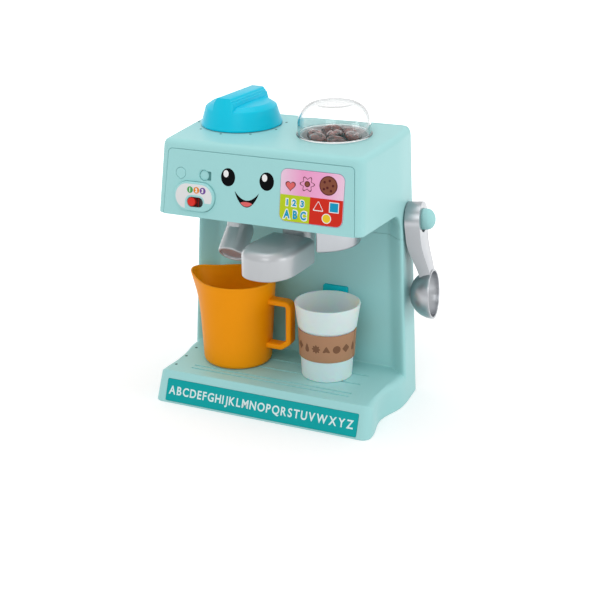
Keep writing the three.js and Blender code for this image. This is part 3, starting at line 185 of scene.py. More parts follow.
def soften(obj, width, segments=2, angle=28):
    """Rounds the sharp edges of a carved piece."""
    step = obj.modifiers.new("edges", "BEVEL")
    step.width, step.segments, step.limit_method = width * MM, segments, "ANGLE"
    step.angle_limit = math.radians(angle)
    step.use_clamp_overlap = True
    return settle(obj)


# Profiles and outlines

def round_path(points, radii, steps=6):
    """A line through points whose inner corners are arcs with these radii."""
    points = [np.asarray(point, float) for point in points]
    path = [points[0][None]]
    for before, corner, after, radius in zip(points, points[1:], points[2:], radii):
        if radius <= 0:
            path.append(corner[None])
            continue
        path.append(corner_arc(before[None], corner[None], after[None], np.array([radius]), steps)[:, 0])
    path.append(points[-1][None])
    return np.concatenate(path)


def corner_arc(before, corner, after, radius, steps):
    """Arcs of a radius that touch both legs of each corner; arrays of corners give (step, corner, yz)."""
    a = before - corner
    b = after - corner
    a = a / np.linalg.norm(a, axis=-1, keepdims=True)
    b = b / np.linalg.norm(b, axis=-1, keepdims=True)
    half = np.arccos(np.clip((a * b).sum(-1), -1, 1)) / 2
    middle = a + b
    middle = middle / np.linalg.norm(middle, axis=-1, keepdims=True)
    centre = corner + middle * (radius / np.sin(half))[..., None]
    first = corner + a * (radius / np.tan(half))[..., None] - centre
    last = corner + b * (radius / np.tan(half))[..., None] - centre
    turn = np.pi - 2 * half
    share = np.linspace(0, 1, steps + 1)[:, None]
    return centre + (np.sin((1 - share) * turn)[..., None] * first
                     + np.sin(share * turn)[..., None] * last) / np.sin(turn)[..., None]


def rounded_outline(width, height, radius, centre=(0, 0), steps=10):
    """Points round a rectangle with quarter-circle corners, anticlockwise."""
    turn = np.linspace(0, np.pi / 2, steps + 1)
    quarters = []
    for number, (right, up) in enumerate([(1, 1), (-1, 1), (-1, -1), (1, -1)]):
        angle = turn + number * np.pi / 2
        quarters.append(np.stack([
            centre[0] + right * (width / 2 - radius) + radius * np.cos(angle),
            centre[1] + up * (height / 2 - radius) + radius * np.sin(angle)], -1))
    return np.concatenate(quarters)


def slab(outline, levels):
    """A flat piece: outline(grow) at each (grow, height) level, filled at both ends."""
    return ring_shape([np.column_stack([outline(grow), np.full(len(outline(grow)), height)])
                       for grow, height in levels])


def rim_levels(low, high, radius, foot=0.0, steps=5):
    """Levels of a flat piece whose upper rim is a quarter circle, and whose lower rim may be one too."""
    turn = np.linspace(0, np.pi / 2, steps + 1)
    upper = [(-radius * (1 - math.cos(t)), high - radius * (1 - math.sin(t))) for t in turn]
    if foot <= 0:
        return [(0, low)] + upper
    lower = [(-foot * (1 - math.sin(t)), low + foot * (1 - math.cos(t))) for t in turn]
    return lower + upper


def lathe(profile, sides=96, centre=(0, 0)):
    """A profile (radius, height) turned round the vertical line through the centre."""
    profile = np.asarray(profile, float)
    angle = np.linspace(0, 2 * np.pi, sides, endpoint=False)
    rings = np.stack([
        centre[0] + profile[:, :1] * np.cos(angle),
        centre[1] + profile[:, :1] * np.sin(angle),
        np.repeat(profile[:, 1:], sides, 1)], -1)
    return ring_shape(rings, capped=False)


def rod(radius, low, high, centre=(0, 0), sides=64, rim=0.0):
    """A cylinder along Z, its ends rounded by rim."""
    if rim <= 0:
        profile = [(0, low), (radius, low), (radius, high), (0, high)]
    else:
        profile = round_path([(0, low), (radius, low), (radius, high), (0, high)], [rim, rim], 5)
    return lathe(profile, sides, centre)


def block(x0, x1, y0, y1, z0, z1):
    """A box as a cutting tool."""
    ring = np.array([(x0, y0), (x1, y0), (x1, y1), (x0, y1)], float)
    return ring_shape([np.column_stack([ring, np.full(4, z)]) for z in (z0, z1)])


def frame_at(origin, angle=0.0, axis="X"):
    """A 4 by 4 matrix that turns about one axis and then moves to the origin given."""
    return np.array(Matrix.Translation(origin) @ Matrix.Rotation(angle, 4, axis))


def move_mesh(obj, matrix):
    """Carries the mesh of an object that was carved in its own frame to its place."""
    local = Matrix(np.asarray(matrix).tolist())
    obj.data.transform(Matrix.Translation(local.translation * MM) @ local.to_3x3().to_4x4())
    return obj


def copy_of(obj, name):
    """A second object with a mesh of its own."""
    twin = obj.copy()
    twin.data = obj.data.copy()
    twin.name = name
    bpy.context.scene.collection.objects.link(twin)
    return twin


FACE = frame_at((0, HEAD_FRONT, CEILING_Z), math.pi / 2 - math.atan(HEAD_LEAN))
BASE_FACE = frame_at((0, BASE_FRONT, 0), math.pi / 2 - math.atan(BASE_LEAN))
TOP = frame_at((0, 0, TOP_Z), math.atan(TOP_SLOPE))


# Materials

def ink(red, green, blue):
    """A colour as seen on a screen, 0 to 255, as linear light."""
    share = np.array([red, green, blue]) / 255
    return (*np.where(share <= 0.04045, share / 12.92, ((share + 0.055) / 1.055) ** 2.4), 1.0)


def link(tree, *pairs):
    """Joins each output socket to its input socket."""
    for source, target in pairs:
        tree.links.new(source, target)


def node(tree, kind, **settings):
    """A shader node; settings that aren't the node's own name its input sockets."""
    made = tree.nodes.new(kind)
    for key, value in settings.items():
        if hasattr(made, key):
            setattr(made, key, value)
        else:
            made.inputs[key.replace("_", " ")].default_value = value
    return made


def new_group(name, inputs, outputs):
    """An empty node group with named sockets; inputs are (name, socket kind, default)."""
    tree = bpy.data.node_groups.new(name, "ShaderNodeTree")
    for label, kind, default in inputs:
        socket = tree.interface.new_socket(label, in_out="INPUT", socket_type=kind)
        if default is not None:
            socket.default_value = default
    for label, kind in outputs:
        tree.interface.new_socket(label, in_out="OUTPUT", socket_type=kind)
    return tree, tree.nodes.new("NodeGroupInput"), tree.nodes.new("NodeGroupOutput")


def moulded_group():
    """Moulded surface: colour drifts in wide clouds, roughness in smaller ones, fine grain gives height."""
    tree, given, result = new_group("moulded surface", [
        ("Vector", "NodeSocketVector", None), ("Colour", "NodeSocketColor", None),
        ("Drift", "NodeSocketFloat", 0.06), ("Roughness", "NodeSocketFloat", 0.4),
        ("Spread", "NodeSocketFloat", 0.08), ("Grain", "NodeSocketFloat", 1800.0),
    ], [("Colour", "NodeSocketColor"), ("Roughness", "NodeSocketFloat"), ("Height", "NodeSocketFloat")])
    cloud = node(tree, "ShaderNodeTexNoise", Scale=14.0, Detail=2.0)
    fine = node(tree, "ShaderNodeTexNoise", Scale=90.0, Detail=3.0)
    grain = node(tree, "ShaderNodeTexNoise", Detail=1.0)
    where = given.outputs["Vector"]
    link(tree, *[(where, noise.inputs["Vector"]) for noise in (cloud, fine, grain)],
         (given.outputs["Grain"], grain.inputs["Scale"]))
    centred = node(tree, "ShaderNodeMath", operation="SUBTRACT")
    centred.inputs[1].default_value = 0.5
    drift = node(tree, "ShaderNodeMath", operation="MULTIPLY_ADD")
    drift.inputs[2].default_value = 1.0
    shade = node(tree, "ShaderNodeVectorMath", operation="SCALE")
    link(tree, (cloud.outputs["Fac"], centred.inputs[0]), (centred.outputs[0], drift.inputs[0]),
         (given.outputs["Drift"], drift.inputs[1]), (given.outputs["Colour"], shade.inputs[0]),
         (drift.outputs[0], shade.inputs["Scale"]), (shade.outputs[0], result.inputs["Colour"]))
    off = node(tree, "ShaderNodeMath", operation="SUBTRACT")
    off.inputs[1].default_value = 0.5
    rough = node(tree, "ShaderNodeMath", operation="MULTIPLY_ADD")
    link(tree, (fine.outputs["Fac"], off.inputs[0]), (off.outputs[0], rough.inputs[0]),
         (given.outputs["Spread"], rough.inputs[1]), (given.outputs["Roughness"], rough.inputs[2]),
         (rough.outputs[0], result.inputs["Roughness"]), (grain.outputs["Fac"], result.inputs["Height"]))
    return tree


def gloss_group():
    """Uneven gloss: noise that moves the roughness between a low and a high value."""
    tree, given, result = new_group("uneven gloss", [
        ("Vector", "NodeSocketVector", None), ("Scale", "NodeSocketFloat", 50.0),
        ("Low", "NodeSocketFloat", 0.2), ("High", "NodeSocketFloat", 0.4),
    ], [("Roughness", "NodeSocketFloat")])
    haze = node(tree, "ShaderNodeTexNoise", Detail=2.0)
    spread = node(tree, "ShaderNodeMapRange")
    link(tree, (given.outputs["Vector"], haze.inputs["Vector"]),
         (given.outputs["Scale"], haze.inputs["Scale"]),
         (haze.outputs["Fac"], spread.inputs["Value"]), (given.outputs["Low"], spread.inputs["To Min"]),
         (given.outputs["High"], spread.inputs["To Max"]),
         (spread.outputs["Result"], result.inputs["Roughness"]))
    return tree


MOULDED, GLOSS = moulded_group(), gloss_group()
SCATTER_DEPTH = 0.012


def new_material(name, slot):
    """A material for a slot of the record, with its nodes, its shader and its Object coordinates."""
    material = bpy.data.materials.new(name)
    material["slot"] = slot
    material.use_nodes = True
    tree = material.node_tree
    return material, tree, tree.nodes["Principled BSDF"], node(tree, "ShaderNodeTexCoord").outputs["Object"]


def colour_ramp(tree, *stops):
    """A ramp with these (position, colour) stops."""
    ramp = node(tree, "ShaderNodeValToRGB")
    elements = ramp.color_ramp.elements
    elements[0].position, elements[0].color = stops[0]
    elements[1].position, elements[1].color = stops[-1]
    for position, colour in stops[1:-1]:
        elements.new(position).color = colour
    return ramp


def moulded(name, colour, roughness=0.35, drift=0.05, spread=0.08, grain=1800.0, bump=0.05, metallic=0.0,
            specular=0.5, coat=0.0, scatter=0.0):
    """A moulded or painted surface. For all but the inks, the name is the record's slot."""
    material, tree, shader, where = new_material(name.replace("_", " "), name)
    group = node(tree, "ShaderNodeGroup", node_tree=MOULDED)
    for label, value in (("Colour", colour), ("Drift", drift), ("Roughness", roughness),
                         ("Spread", spread), ("Grain", grain)):
        group.inputs[label].default_value = value
    height = node(tree, "ShaderNodeBump", Strength=bump, Distance=0.0002)
    shader.inputs["Metallic"].default_value = metallic
    shader.inputs["Specular IOR Level"].default_value = specular
    shader.inputs["Coat Weight"].default_value = coat
    shader.inputs["Coat Roughness"].default_value = 0.15
    shader.inputs["Subsurface Weight"].default_value = scatter
    shader.inputs["Subsurface Scale"].default_value = SCATTER_DEPTH
    link(tree, (where, group.inputs["Vector"]), (group.outputs["Colour"], shader.inputs["Base Color"]),
         (group.outputs["Roughness"], shader.inputs["Roughness"]),
         (group.outputs["Height"], height.inputs["Height"]),
         (height.outputs["Normal"], shader.inputs["Normal"]))
    return material


def uneven_gloss(tree, where, shader, scale, low, high):
    """Puts the gloss group into a material with its own values."""
    group = node(tree, "ShaderNodeGroup", node_tree=GLOSS)
    for label, value in (("Scale", scale), ("Low", low), ("High", high)):
        group.inputs[label].default_value = value
    link(tree, (where, group.inputs["Vector"]), (group.outputs["Roughness"], shader.inputs["Roughness"]))


def clear_material():
    """Clear moulded plastic: full transmission, with painted shade that darkens its colour where it is seen
    edge on, and faint uneven gloss.
    """
    material, tree, shader, where = new_material("clear plastic", "clear_plastic")
    shader.inputs["Transmission Weight"].default_value = 1.0
    shader.inputs["IOR"].default_value = 1.45
    # Painted shade: the colour runs from near white face on to dark grey edge on, for the dark edges of the
    # dome
    facing = node(tree, "ShaderNodeLayerWeight", Blend=0.3)
    ramp = colour_ramp(tree, (0.3, (0.98, 0.99, 0.99, 1)), (0.85, (0.12, 0.13, 0.14, 1)))
    link(tree, (facing.outputs["Facing"], ramp.inputs["Fac"]),
         (ramp.outputs["Color"], shader.inputs["Base Color"]))
    uneven_gloss(tree, where, shader, 40.0, 0.01, 0.05)
    return material


def bean_material():
    """Glossy bean: dark and reddish browns in patches, with shallow dents."""
    material, tree, shader, where = new_material("glossy bean", "bean_plastic")
    patch = node(tree, "ShaderNodeTexNoise", Scale=130.0, Detail=4.0)
    ramp = colour_ramp(tree, (0.35, ink(48, 16, 12)), (0.68, ink(136, 58, 44)))
    height = node(tree, "ShaderNodeBump", Strength=0.25, Distance=0.0006)
    shader.inputs["Roughness"].default_value = 0.2
    shader.inputs["Coat Weight"].default_value = 0.5
    link(tree, (where, patch.inputs["Vector"]), (patch.outputs["Fac"], ramp.inputs["Fac"]),
         (ramp.outputs["Color"], shader.inputs["Base Color"]),
         (patch.outputs["Fac"], height.inputs["Height"]),
         (height.outputs["Normal"], shader.inputs["Normal"]))
    return material


def display_material():
    """Display print: pale at both sides and pinker between, with a slight unevenness."""
    material, tree, shader, where = new_material("display print", "display_print")
    parts = node(tree, "ShaderNodeSeparateXYZ")
    along = node(tree, "ShaderNodeMapRange", From_Min=0.026, From_Max=0.094)
    ramp = colour_ramp(tree, (0.0, ink(240, 206, 228)), (0.34, ink(243, 160, 206)),
                       (0.72, ink(246, 172, 214)), (1.0, ink(243, 206, 228)))
    link(tree, (where, parts.inputs[0]), (parts.outputs["X"], along.inputs["Value"]),
         (along.outputs["Result"], ramp.inputs["Fac"]), (ramp.outputs["Color"], shader.inputs["Base Color"]))
    uneven_gloss(tree, where, shader, 70.0, 0.26, 0.38)
    return material


def printed(name, *screen_colour):
    """Printed ink with a slight unevenness."""
    return moulded(name, ink(*screen_colour), drift=0.08, grain=3000.0, specular=0.04)


MINT = moulded("mint_plastic", ink(166, 222, 222), roughness=0.4, drift=0.03, specular=0.35)
AQUA = moulded("aqua_plastic", ink(0, 204, 234), roughness=0.3, specular=0.22)
TEAL = moulded("teal_plastic", ink(0, 168, 170), roughness=0.4, specular=0.15)
SILVER = moulded("silver_plastic", ink(178, 181, 184), roughness=0.4, metallic=0.4, drift=0.08, grain=5200.0,
                 bump=0.1, coat=0.8)
BRIGHT = moulded("silver_plastic", ink(172, 175, 179), roughness=0.3, metallic=0.85, drift=0.08, grain=5200.0,
                 bump=0.08)
ORANGE = moulded("orange_plastic", ink(255, 158, 0), roughness=0.42, specular=0.14)
WHITE = moulded("white_plastic", ink(232, 232, 233), roughness=0.4, drift=0.02, specular=0.3)
CUP_WHITE = moulded("white_plastic", ink(246, 239, 238), roughness=0.4, drift=0.02, specular=0.2, scatter=0.7)
CARD = moulded("sleeve_card", ink(178, 134, 103), roughness=0.62, drift=0.12, grain=900.0, bump=0.3,
               specular=0.15)
BEAN = bean_material()
CLEAR = clear_material()
RED = moulded("red_plastic", ink(226, 40, 26), roughness=0.3, specular=0.3)
DISPLAY = display_material()
TAB = moulded("teal_plastic", ink(0, 200, 214), roughness=0.4, specular=0.2)
DARK = moulded("dark_plastic", ink(42, 44, 46), roughness=0.5)
BOARD = moulded("board_green", ink(47, 109, 70), roughness=0.5)
RUBBER = moulded("rubber_foot", ink(58, 60, 61), roughness=0.8, grain=700.0, bump=0.3)
CELL = moulded("cell_case", ink(190, 160, 90), roughness=0.35, metallic=0.5)
CONTACT = moulded("contact_metal", ink(201, 169, 91), roughness=0.3, metallic=1.0)
SCREW = moulded("screw_steel", ink(170, 174, 178), roughness=0.3, metallic=1.0)

INKS = {name: printed(name, *screen_colour) for name, screen_colour in {
    "black": (8, 9, 12), "white": (246, 246, 246), "green": (190, 212, 44), "red": (216, 52, 38),
    "blue": (30, 158, 200), "yellow": (240, 208, 52), "brown": (140, 84, 66), "line": (92, 40, 40),
    "orange": (236, 140, 40), "purple": (120, 80, 160), "grass": (80, 170, 90), "letter": (226, 246, 246),
    # Three of these inks stand for painted shade: the darker mint on the button notch's floor, the darkest
    # brown on the bean dish's floor, and the dark mint dots round the dial.
    "tan": (128, 92, 70), "rose": (232, 110, 110), "dot": (54, 104, 104), "shade": (92, 146, 146),
    "roast": (38, 22, 16),
}.items()}


def print_part(name, shape, colour, body="machine"):
    """A thin printed piece."""
    obj = raw_object(name, shape)
    obj.data.materials.append(INKS[colour])
    obj.data.shade_smooth()
    obj.data.set_sharp_from_angle(angle=math.radians(PRINT_SHARP_DEGREES))
    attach(obj, body)
    return obj


# Housing skin


def side_x(y, z):
    """Half width: it narrows upwards and away from the widest line, which is rounded over."""
    off = np.sqrt((y - WIDEST_Y) ** 2 + WIDEST_ROUND ** 2) - WIDEST_ROUND
    return HALF_WIDTH - TAPER * z - SPLAY * off - scallop(y, z)


def scallop(y, z):
    """How far the base's sides are dished in: a squared sine along Y that fades out below the tray."""
    along = np.clip((y - SCALLOP_START) / (SCALLOP_END - SCALLOP_START), 0, 1)
    fade = np.cos(np.pi / 2 * np.clip(z, 0, BASE_HEIGHT) / BASE_HEIGHT)
    return SCALLOP_DEPTH * np.sin(np.pi * along) ** 2 * np.clip(fade, 0, 1) ** SCALLOP_POWER


def drawn_in(radius, depth):
    """How far a face is drawn in at a depth from the side, so that its edge is a quarter circle."""
    left = np.clip(radius - depth, 0, radius)
    return radius - np.sqrt(radius ** 2 - left ** 2)


def housing_skin(shrink, arc, straight):
    """Closed skin of the housing. A C-shaped side profile with rounded corners is carried across X.
    Near a side each of its lines is drawn in by a quarter circle, and the bay's back wall comes forward
    in a cosine curve to the cheeks. The two side faces are filled between the C's outer and inner parts."""
    depth = SIDE_BAND * (1 - np.cos(np.linspace(0, np.pi / 2, BAND_LINES)))
    depth = np.concatenate([depth, np.linspace(SIDE_BAND, NEXT_BAND, NEXT_LINES)[1:]])
    middle = np.linspace(1 - NEXT_BAND / SHARE_WIDTH, 0, MIDDLE_LINES)[1:]
    share = np.concatenate([1 - depth / SHARE_WIDTH, middle])
    depth = (1 - share) * SHARE_WIDTH
    even = np.ones_like(depth)
    along = np.clip((1 - (depth + shrink) / SHARE_WIDTH - BAY_FLAT_SHARE) / (1 - BAY_FLAT_SHARE), 0, 1)
    ease = (1 + np.cos(np.pi * along)) / 2
    rise = BAY_WALL_Y - CHEEK_Y
    slope = rise * np.pi / 2 * np.sin(np.pi * along) / ((1 - BAY_FLAT_SHARE) * SHARE_WIDTH)
    wall_y = CHEEK_Y + rise * ease + shrink * (np.sqrt(1 + slope ** 2) - 1)
    front, back, top, foot, tray, cheek, ceiling = [
        drawn_in(max(radius - shrink, LEAST_ROUND), depth) + shrink
        for radius in (FRONT_ROUND, BACK_ROUND, TOP_ROUND, FOOT_ROUND, TRAY_ROUND, CHEEK_ROUND,
                       CEILING_ROUND)]

    def line(y, z, dy, dz, drawn, outward):
        """One side of the profile at every depth: a point moved against the outward normal, a direction."""
        normal = np.array(outward) / np.hypot(*outward)
        return np.stack([y * even, z * even], -1) - normal * drawn[:, None], np.array([dy, dz], float)

    lines = [
        line(BASE_FRONT, 0, BASE_LEAN, 1, front, (-1, BASE_LEAN)),
        line(BASE_FRONT, BASE_HEIGHT, 1, 0, tray, (0, 1)),
        line(wall_y, BASE_HEIGHT, 0, 1, cheek, (-1, 0)),
        line(BASE_FRONT, CEILING_Z, 1, 0, ceiling, (0, -1)),
        line(HEAD_FRONT, CEILING_Z, HEAD_LEAN, 1, front, (-1, HEAD_LEAN)),
        line(0, TOP_Z, 1, TOP_SLOPE, top, (-TOP_SLOPE, 1)),
        line(BASE_BACK, 0, 0, 1, back, (1, 0)),
        line(0, 0, 1, 0, foot, (0, -1)),
    ]

    def meet(first, second):
        """Where two sides cross, at every depth."""
        (p, t), (q, s) = first, second
        off = q - p
        cross = t[0] * s[1] - t[1] * s[0]
        return p + t * ((off[:, 0] * s[1] - off[:, 1] * s[0]) / cross)[:, None]

    corners = [meet(lines[number - 1], lines[number]) for number in range(8)]
    bay_corner = BAY_WALL_FILLET + (CHEEK_FILLET - BAY_WALL_FILLET) * (1 - ease)
    top_edge = np.maximum(TOP_ROUND - shrink - (top - shrink) / 2, LEAST_TOP_ROUND)
    rounds = [FOOT_ROUND * even, FRONT_EDGE_ROUND * even, (TRAY_FILLET + shrink) * even, bay_corner + shrink,
              FRONT_EDGE_ROUND * even, top_edge, top_edge, FOOT_ROUND * even]
    arcs = [corner_arc(corners[n - 1], corners[n], corners[(n + 1) % 8], rounds[n], arc) for n in range(8)]
    runs, marks = [], [0]
    for number in range(8):
        start, end = arcs[number][-1], arcs[(number + 1) % 8][0]
        step = np.linspace(0, 1, straight[number] + 1)[1:-1, None, None]
        runs += [arcs[number], start + (end - start) * step]
        marks.append(marks[-1] + arc + straight[number])
    loop = np.concatenate(runs)
    y, z = loop[..., 0], loop[..., 1]
    half = side_x(y, z) - shrink
    inner = share[BAND_LINES - 1]
    x = np.where(depth <= SIDE_BAND, half - depth, (half - SIDE_BAND) * share / inner)
    right = np.stack([x, y, z], -1)
    left = right[:, -2::-1] * np.array([-1, 1, 1])
    body = np.concatenate([right, left], 1)
    count, cols = body.shape[:2]
    shapes = [(body, grid_faces(count, cols, wrap_rows=True))]

    edge = loop[:, 0]

    def stretch(first, last):
        """The edge's points from one mark to another, past its start where need be."""
        return edge[np.arange(first, last + 1) % count]

    front_end = stretch(marks[0], marks[1] + arc)
    inner_edge = stretch(marks[1] + arc, marks[4])
    head_end = stretch(marks[4], marks[5] + arc)[::-1]
    outer_edge = stretch(marks[5] + arc, marks[8])[::-1]

    def along_share(run):
        """How far along its run each point lies, 0 to 1."""
        length = np.concatenate([[0], np.cumsum(np.linalg.norm(np.diff(run, axis=0), axis=1))])
        return length / length[-1]

    v_front, v_head = along_share(front_end), along_share(head_end)
    u = np.linspace(0, 1, len(inner_edge))[:, None]
    v = (v_front * (1 - u) + v_head * u)[..., None]
    u = u[..., None]
    flat = (1 - v) * outer_edge[:, None] + v * inner_edge[:, None]
    flat = flat + (1 - u) * (front_end[None] - (1 - v) * front_end[0] - v * front_end[-1])
    flat = flat + u * (head_end[None] - (1 - v) * head_end[0] - v * head_end[-1])
    side = np.concatenate([(side_x(flat[..., 0], flat[..., 1]) - shrink)[..., None], flat], -1)
    for mirror in (1, -1):
        shapes.append((side * np.array([mirror, 1, 1]), grid_faces(*side.shape[:2])))
    return combine(*shapes)


def housing():
    """The hollow housing, before it is parted into head, lower shell and rear cover."""
    outer = raw_object("housing", housing_skin(0, OUTER_ARC, OUTER_STEPS))
    return carve(outer, housing_skin(WALL, INNER_ARC, INNER_STEPS))


# Front panel, and the holes in the three shells

FAR, CUT, DEEP = 400.0, 8.0, 10.0
PANEL_HEIGHT, PANEL_LOW, PANEL_HIGH, PANEL_CORNER = 68.9, 107.4, 103.2, 4.5
PANEL_SEAT, PANEL_DROP = 2.8, 6.0
MODE_CENTRE, MODE_SIZE, MODE_PROUD, MODE_ROUND = (-70.5, 21.7), (46.6, 30.4), 3.2, 1.6
SLOT_CENTRE, SLOT_SIZE, SLOT_BEVEL = (-69.0, 16.1), (18.4, 10.4), 0.6
LABEL_MARGIN, LABEL_SINK, LABEL_PROUD, LABEL_CUT = 4.4, 0.6, 0.12, 11.4
DISPLAY_CENTRE, DISPLAY_SIZE, DISPLAY_ROUND = (59.8, 34.4), (68.3, 52.6), 7.0
BUTTON, BUTTON_RADIUS = (-61.2, 44.2), 5.2
NOTCH_SIZE, NOTCH_CORNER, NOTCH_DEPTH = (8.7, 9.6), 1.2, 2.1
NOTCH = (BUTTON[0] + NOTCH_SIZE[0] / 2, BUTTON[1])
LENS, LENS_RADIUS, LENS_TIP = (-87.8, 44.6), 5.5, 6.6
FLARE, FINE_FLARE, BUTTON_FLARE, FLARE_RISE = 0.5, 0.3, 1.1, 2.0
PLATE_PROUD, PLATE_ROUND = 0.2, 0.15


def panel_outline(grow, drop=0.0, steps=10):
    """The front panel: straight below, slightly narrower at the top, with two round upper corners."""
    low = PANEL_LOW + grow + (drop - grow) * (PANEL_LOW - PANEL_HIGH) / PANEL_HEIGHT
    high, radius = PANEL_HIGH + grow, PANEL_CORNER + grow
    turn = np.linspace(0, np.pi / 2, steps + 1)
    arc = np.stack([high - radius + radius * np.cos(turn),
                    PANEL_HEIGHT + grow - radius + radius * np.sin(turn)], -1)
    right = np.concatenate([[(low, -drop)], arc])
    return np.concatenate([right, right[::-1] * np.array([-1, 1])])


def growing(width, height, radius, centre=(0, 0), steps=10):
    """An outline for slab: a rectangle with round corners that grows on every side."""
    return lambda grow: rounded_outline(width + 2 * grow, height + 2 * grow, radius + grow, centre, steps)


def oval(size, centre):
    """An outline for slab with half-round ends."""
    return growing(*size, size[1] / 2, centre, 16)


def lens_outline(grow):
    """A circle that runs to a point below."""
    radius, tip = LENS_RADIUS + grow, LENS_TIP + grow
    touch = math.acos(radius / tip)
    turn = np.linspace(-np.pi / 2 + touch, 1.5 * np.pi - touch, 49)
    arc = np.stack([LENS[0] + radius * np.cos(turn), LENS[1] + radius * np.sin(turn)], -1)
    return np.concatenate([[(LENS[0], LENS[1] - tip)], arc])


def flared(outline, depth, gap=GAP, flare=FLARE):
    """A cutting tool that opens out near the surface, so that the edge it leaves is bevelled."""
    return slab(outline, [(gap, -depth), (gap, -flare), (gap + flare + FLARE_RISE, FLARE_RISE)])


display_outline = growing(*DISPLAY_SIZE, DISPLAY_ROUND, DISPLAY_CENTRE)
button_hole = growing(2 * BUTTON_RADIUS, 2 * BUTTON_RADIUS, BUTTON_RADIUS, BUTTON, 12)

hull = housing()
head, lower, rear = [copy_of(hull, name) for name in ("head_skin", "lower_skin", "rear_skin")]
bpy.data.objects.remove(hull)
for shell, room in (
    (head, block(-FAR, FAR, -FAR, REAR_SPLIT - GAP / 2, SEAM_Z + GAP / 2, FAR)),
    (lower, block(-FAR, FAR, -FAR, REAR_SPLIT - GAP / 2, -FAR, SEAM_Z - GAP / 2)),
    (rear, block(-FAR, FAR, REAR_SPLIT + GAP / 2, FAR, -FAR, FAR)),
):
    carve(shell, sliced(raw_object("room", room)), operation="INTERSECT")

# Places on the top, and under the head
DIAL, BEANS = (-61.0, 20.0), (49.5, 13.0)
NECK, WAND = (18.4, -8.4), (-55.0, -2.3)
SPINDLE_HOLE, DISH_HOLE, NECK_HOLE, WAND_HOLE = 5.8, 36.1, 17.3, 7.3
CEILING_CUT = (210, 226)
carve(head,
      place(combine(rod(SPINDLE_HOLE, -CUT, CUT, DIAL), rod(DISH_HOLE, -CUT, CUT, BEANS)), TOP),
      combine(rod(NECK_HOLE, *CEILING_CUT, NECK), rod(WAND_HOLE, *CEILING_CUT, WAND)),
      place(flared(lambda grow: panel_outline(grow, PANEL_DROP), PANEL_SEAT), FACE))
finish(head, MINT, "machine", "head_shell")

# Cup sensor, letter strip and grooves in the lower shell
TAB_X, TAB_TOP, TAB_SIZE, TAB_CORNER, TAB_PROUD, TAB_ROUND = 41.0, 121.3, (29.0, 40.0), 2.0, 3.6, 0.7
FLANGE_SIZE, FLANGE_CORNER, FLANGE_BACK, FLANGE_FRONT = (33.0, 44.0), 1.0, -4.7, -2.8
STRIP_HALF, STRIP_LOW, STRIP_HEIGHT, STRIP_ROUND, STRIP_SEAT = 113.4, 2.6, 24.6, 1.5, 1.1
GROOVE_HALF, GROOVE_WIDTH, GROOVE_FLOOR, GROOVE_TOP = 94.5, 2.6, 32.8, 60.0
GROOVE_LINES = (-49, -41, -15.5, 9)
tab_frame = frame_at((TAB_X, BAY_WALL_Y, TAB_TOP - TAB_SIZE[1] / 2), math.pi / 2)
tab_outline = growing(*TAB_SIZE, TAB_CORNER)
strip_outline = growing(2 * STRIP_HALF, STRIP_HEIGHT, STRIP_ROUND, (0, STRIP_LOW + STRIP_HEIGHT / 2))
grooves = [block(-GROOVE_HALF, GROOVE_HALF, y - GROOVE_WIDTH / 2, y + GROOVE_WIDTH / 2, GROOVE_FLOOR,
                 GROOVE_TOP) for y in GROOVE_LINES]
carve(lower, place(slab(tab_outline, [(GAP, -CUT), (GAP, CUT)]), tab_frame),
      place(slab(strip_outline, [(GAP, -STRIP_SEAT), (GAP, CUT / 2)]), BASE_FACE), combine(*grooves))
finish(lower, MINT, "machine", "lower_shell")

# Speaker grille and screw sinks in the rear cover
GRILLE_Z, GRILLE_HOLE, GRILLE_RINGS = 120.0, 1.7, ((7, 6), (14, 12))
SINK_RADIUS, SINK_FLOOR = 3.5, 75.1
COVER_CUT = (60, 90)


def grille_tools():
    """Small holes: one in the middle, then rings of six and twelve."""
    tools = [rod(GRILLE_HOLE, *COVER_CUT, sides=16)]
    for reach, count in GRILLE_RINGS:
        for turn in np.arange(count) * 2 * np.pi / count:
            tools.append(rod(GRILLE_HOLE, *COVER_CUT, (reach * math.cos(turn), reach * math.sin(turn)), 16))
    return combine(*tools)


def sink_tool(name):
    """A cylinder that clears the cover over one screw's head."""
    low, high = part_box(name)
    middle = (low + high) / 2 / MM
    return place(rod(SINK_RADIUS, SINK_FLOOR, COVER_CUT[1], sides=32),
                 frame_at((middle.x, 0, middle.z), -math.pi / 2))


carve(rear, place(grille_tools(), frame_at((0, 0, GRILLE_Z), -math.pi / 2)),
      combine(*[sink_tool(f"rear_screw_{number}") for number in range(1, 5)]))
finish(rear, MINT, "machine", "rear_cover")

# Front panel and what it carries

panel = raw_object("front_panel_skin", slab(panel_outline, rim_levels(-WALL, 0, FLARE)))
carve(panel, flared(oval(MODE_SIZE, MODE_CENTRE), CUT, flare=FINE_FLARE),
      flared(display_outline, 1.3, flare=FINE_FLARE), flared(button_hole, CUT, flare=BUTTON_FLARE),
      flared(lens_outline, 1.5, flare=FINE_FLARE),
      slab(growing(*NOTCH_SIZE, NOTCH_CORNER, NOTCH), [(0, -NOTCH_DEPTH), (0, 0), (0, CUT / 2)]))
finish(panel, MINT, "machine", angle=30)
move_mesh(panel, FACE)
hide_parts("front_panel")

mode = raw_object("mode_housing_skin",
                  slab(oval(MODE_SIZE, MODE_CENTRE), rim_levels(-WALL, MODE_PROUD, MODE_ROUND)))
carve(mode, slab(oval(SLOT_SIZE, SLOT_CENTRE),
                 [(0, -DEEP), (0, MODE_PROUD - SLOT_BEVEL), (4 * SLOT_BEVEL, MODE_PROUD + 3 * SLOT_BEVEL)]))
finish(mode, MINT, "machine", "mode_housing")
move_mesh(mode, FACE)

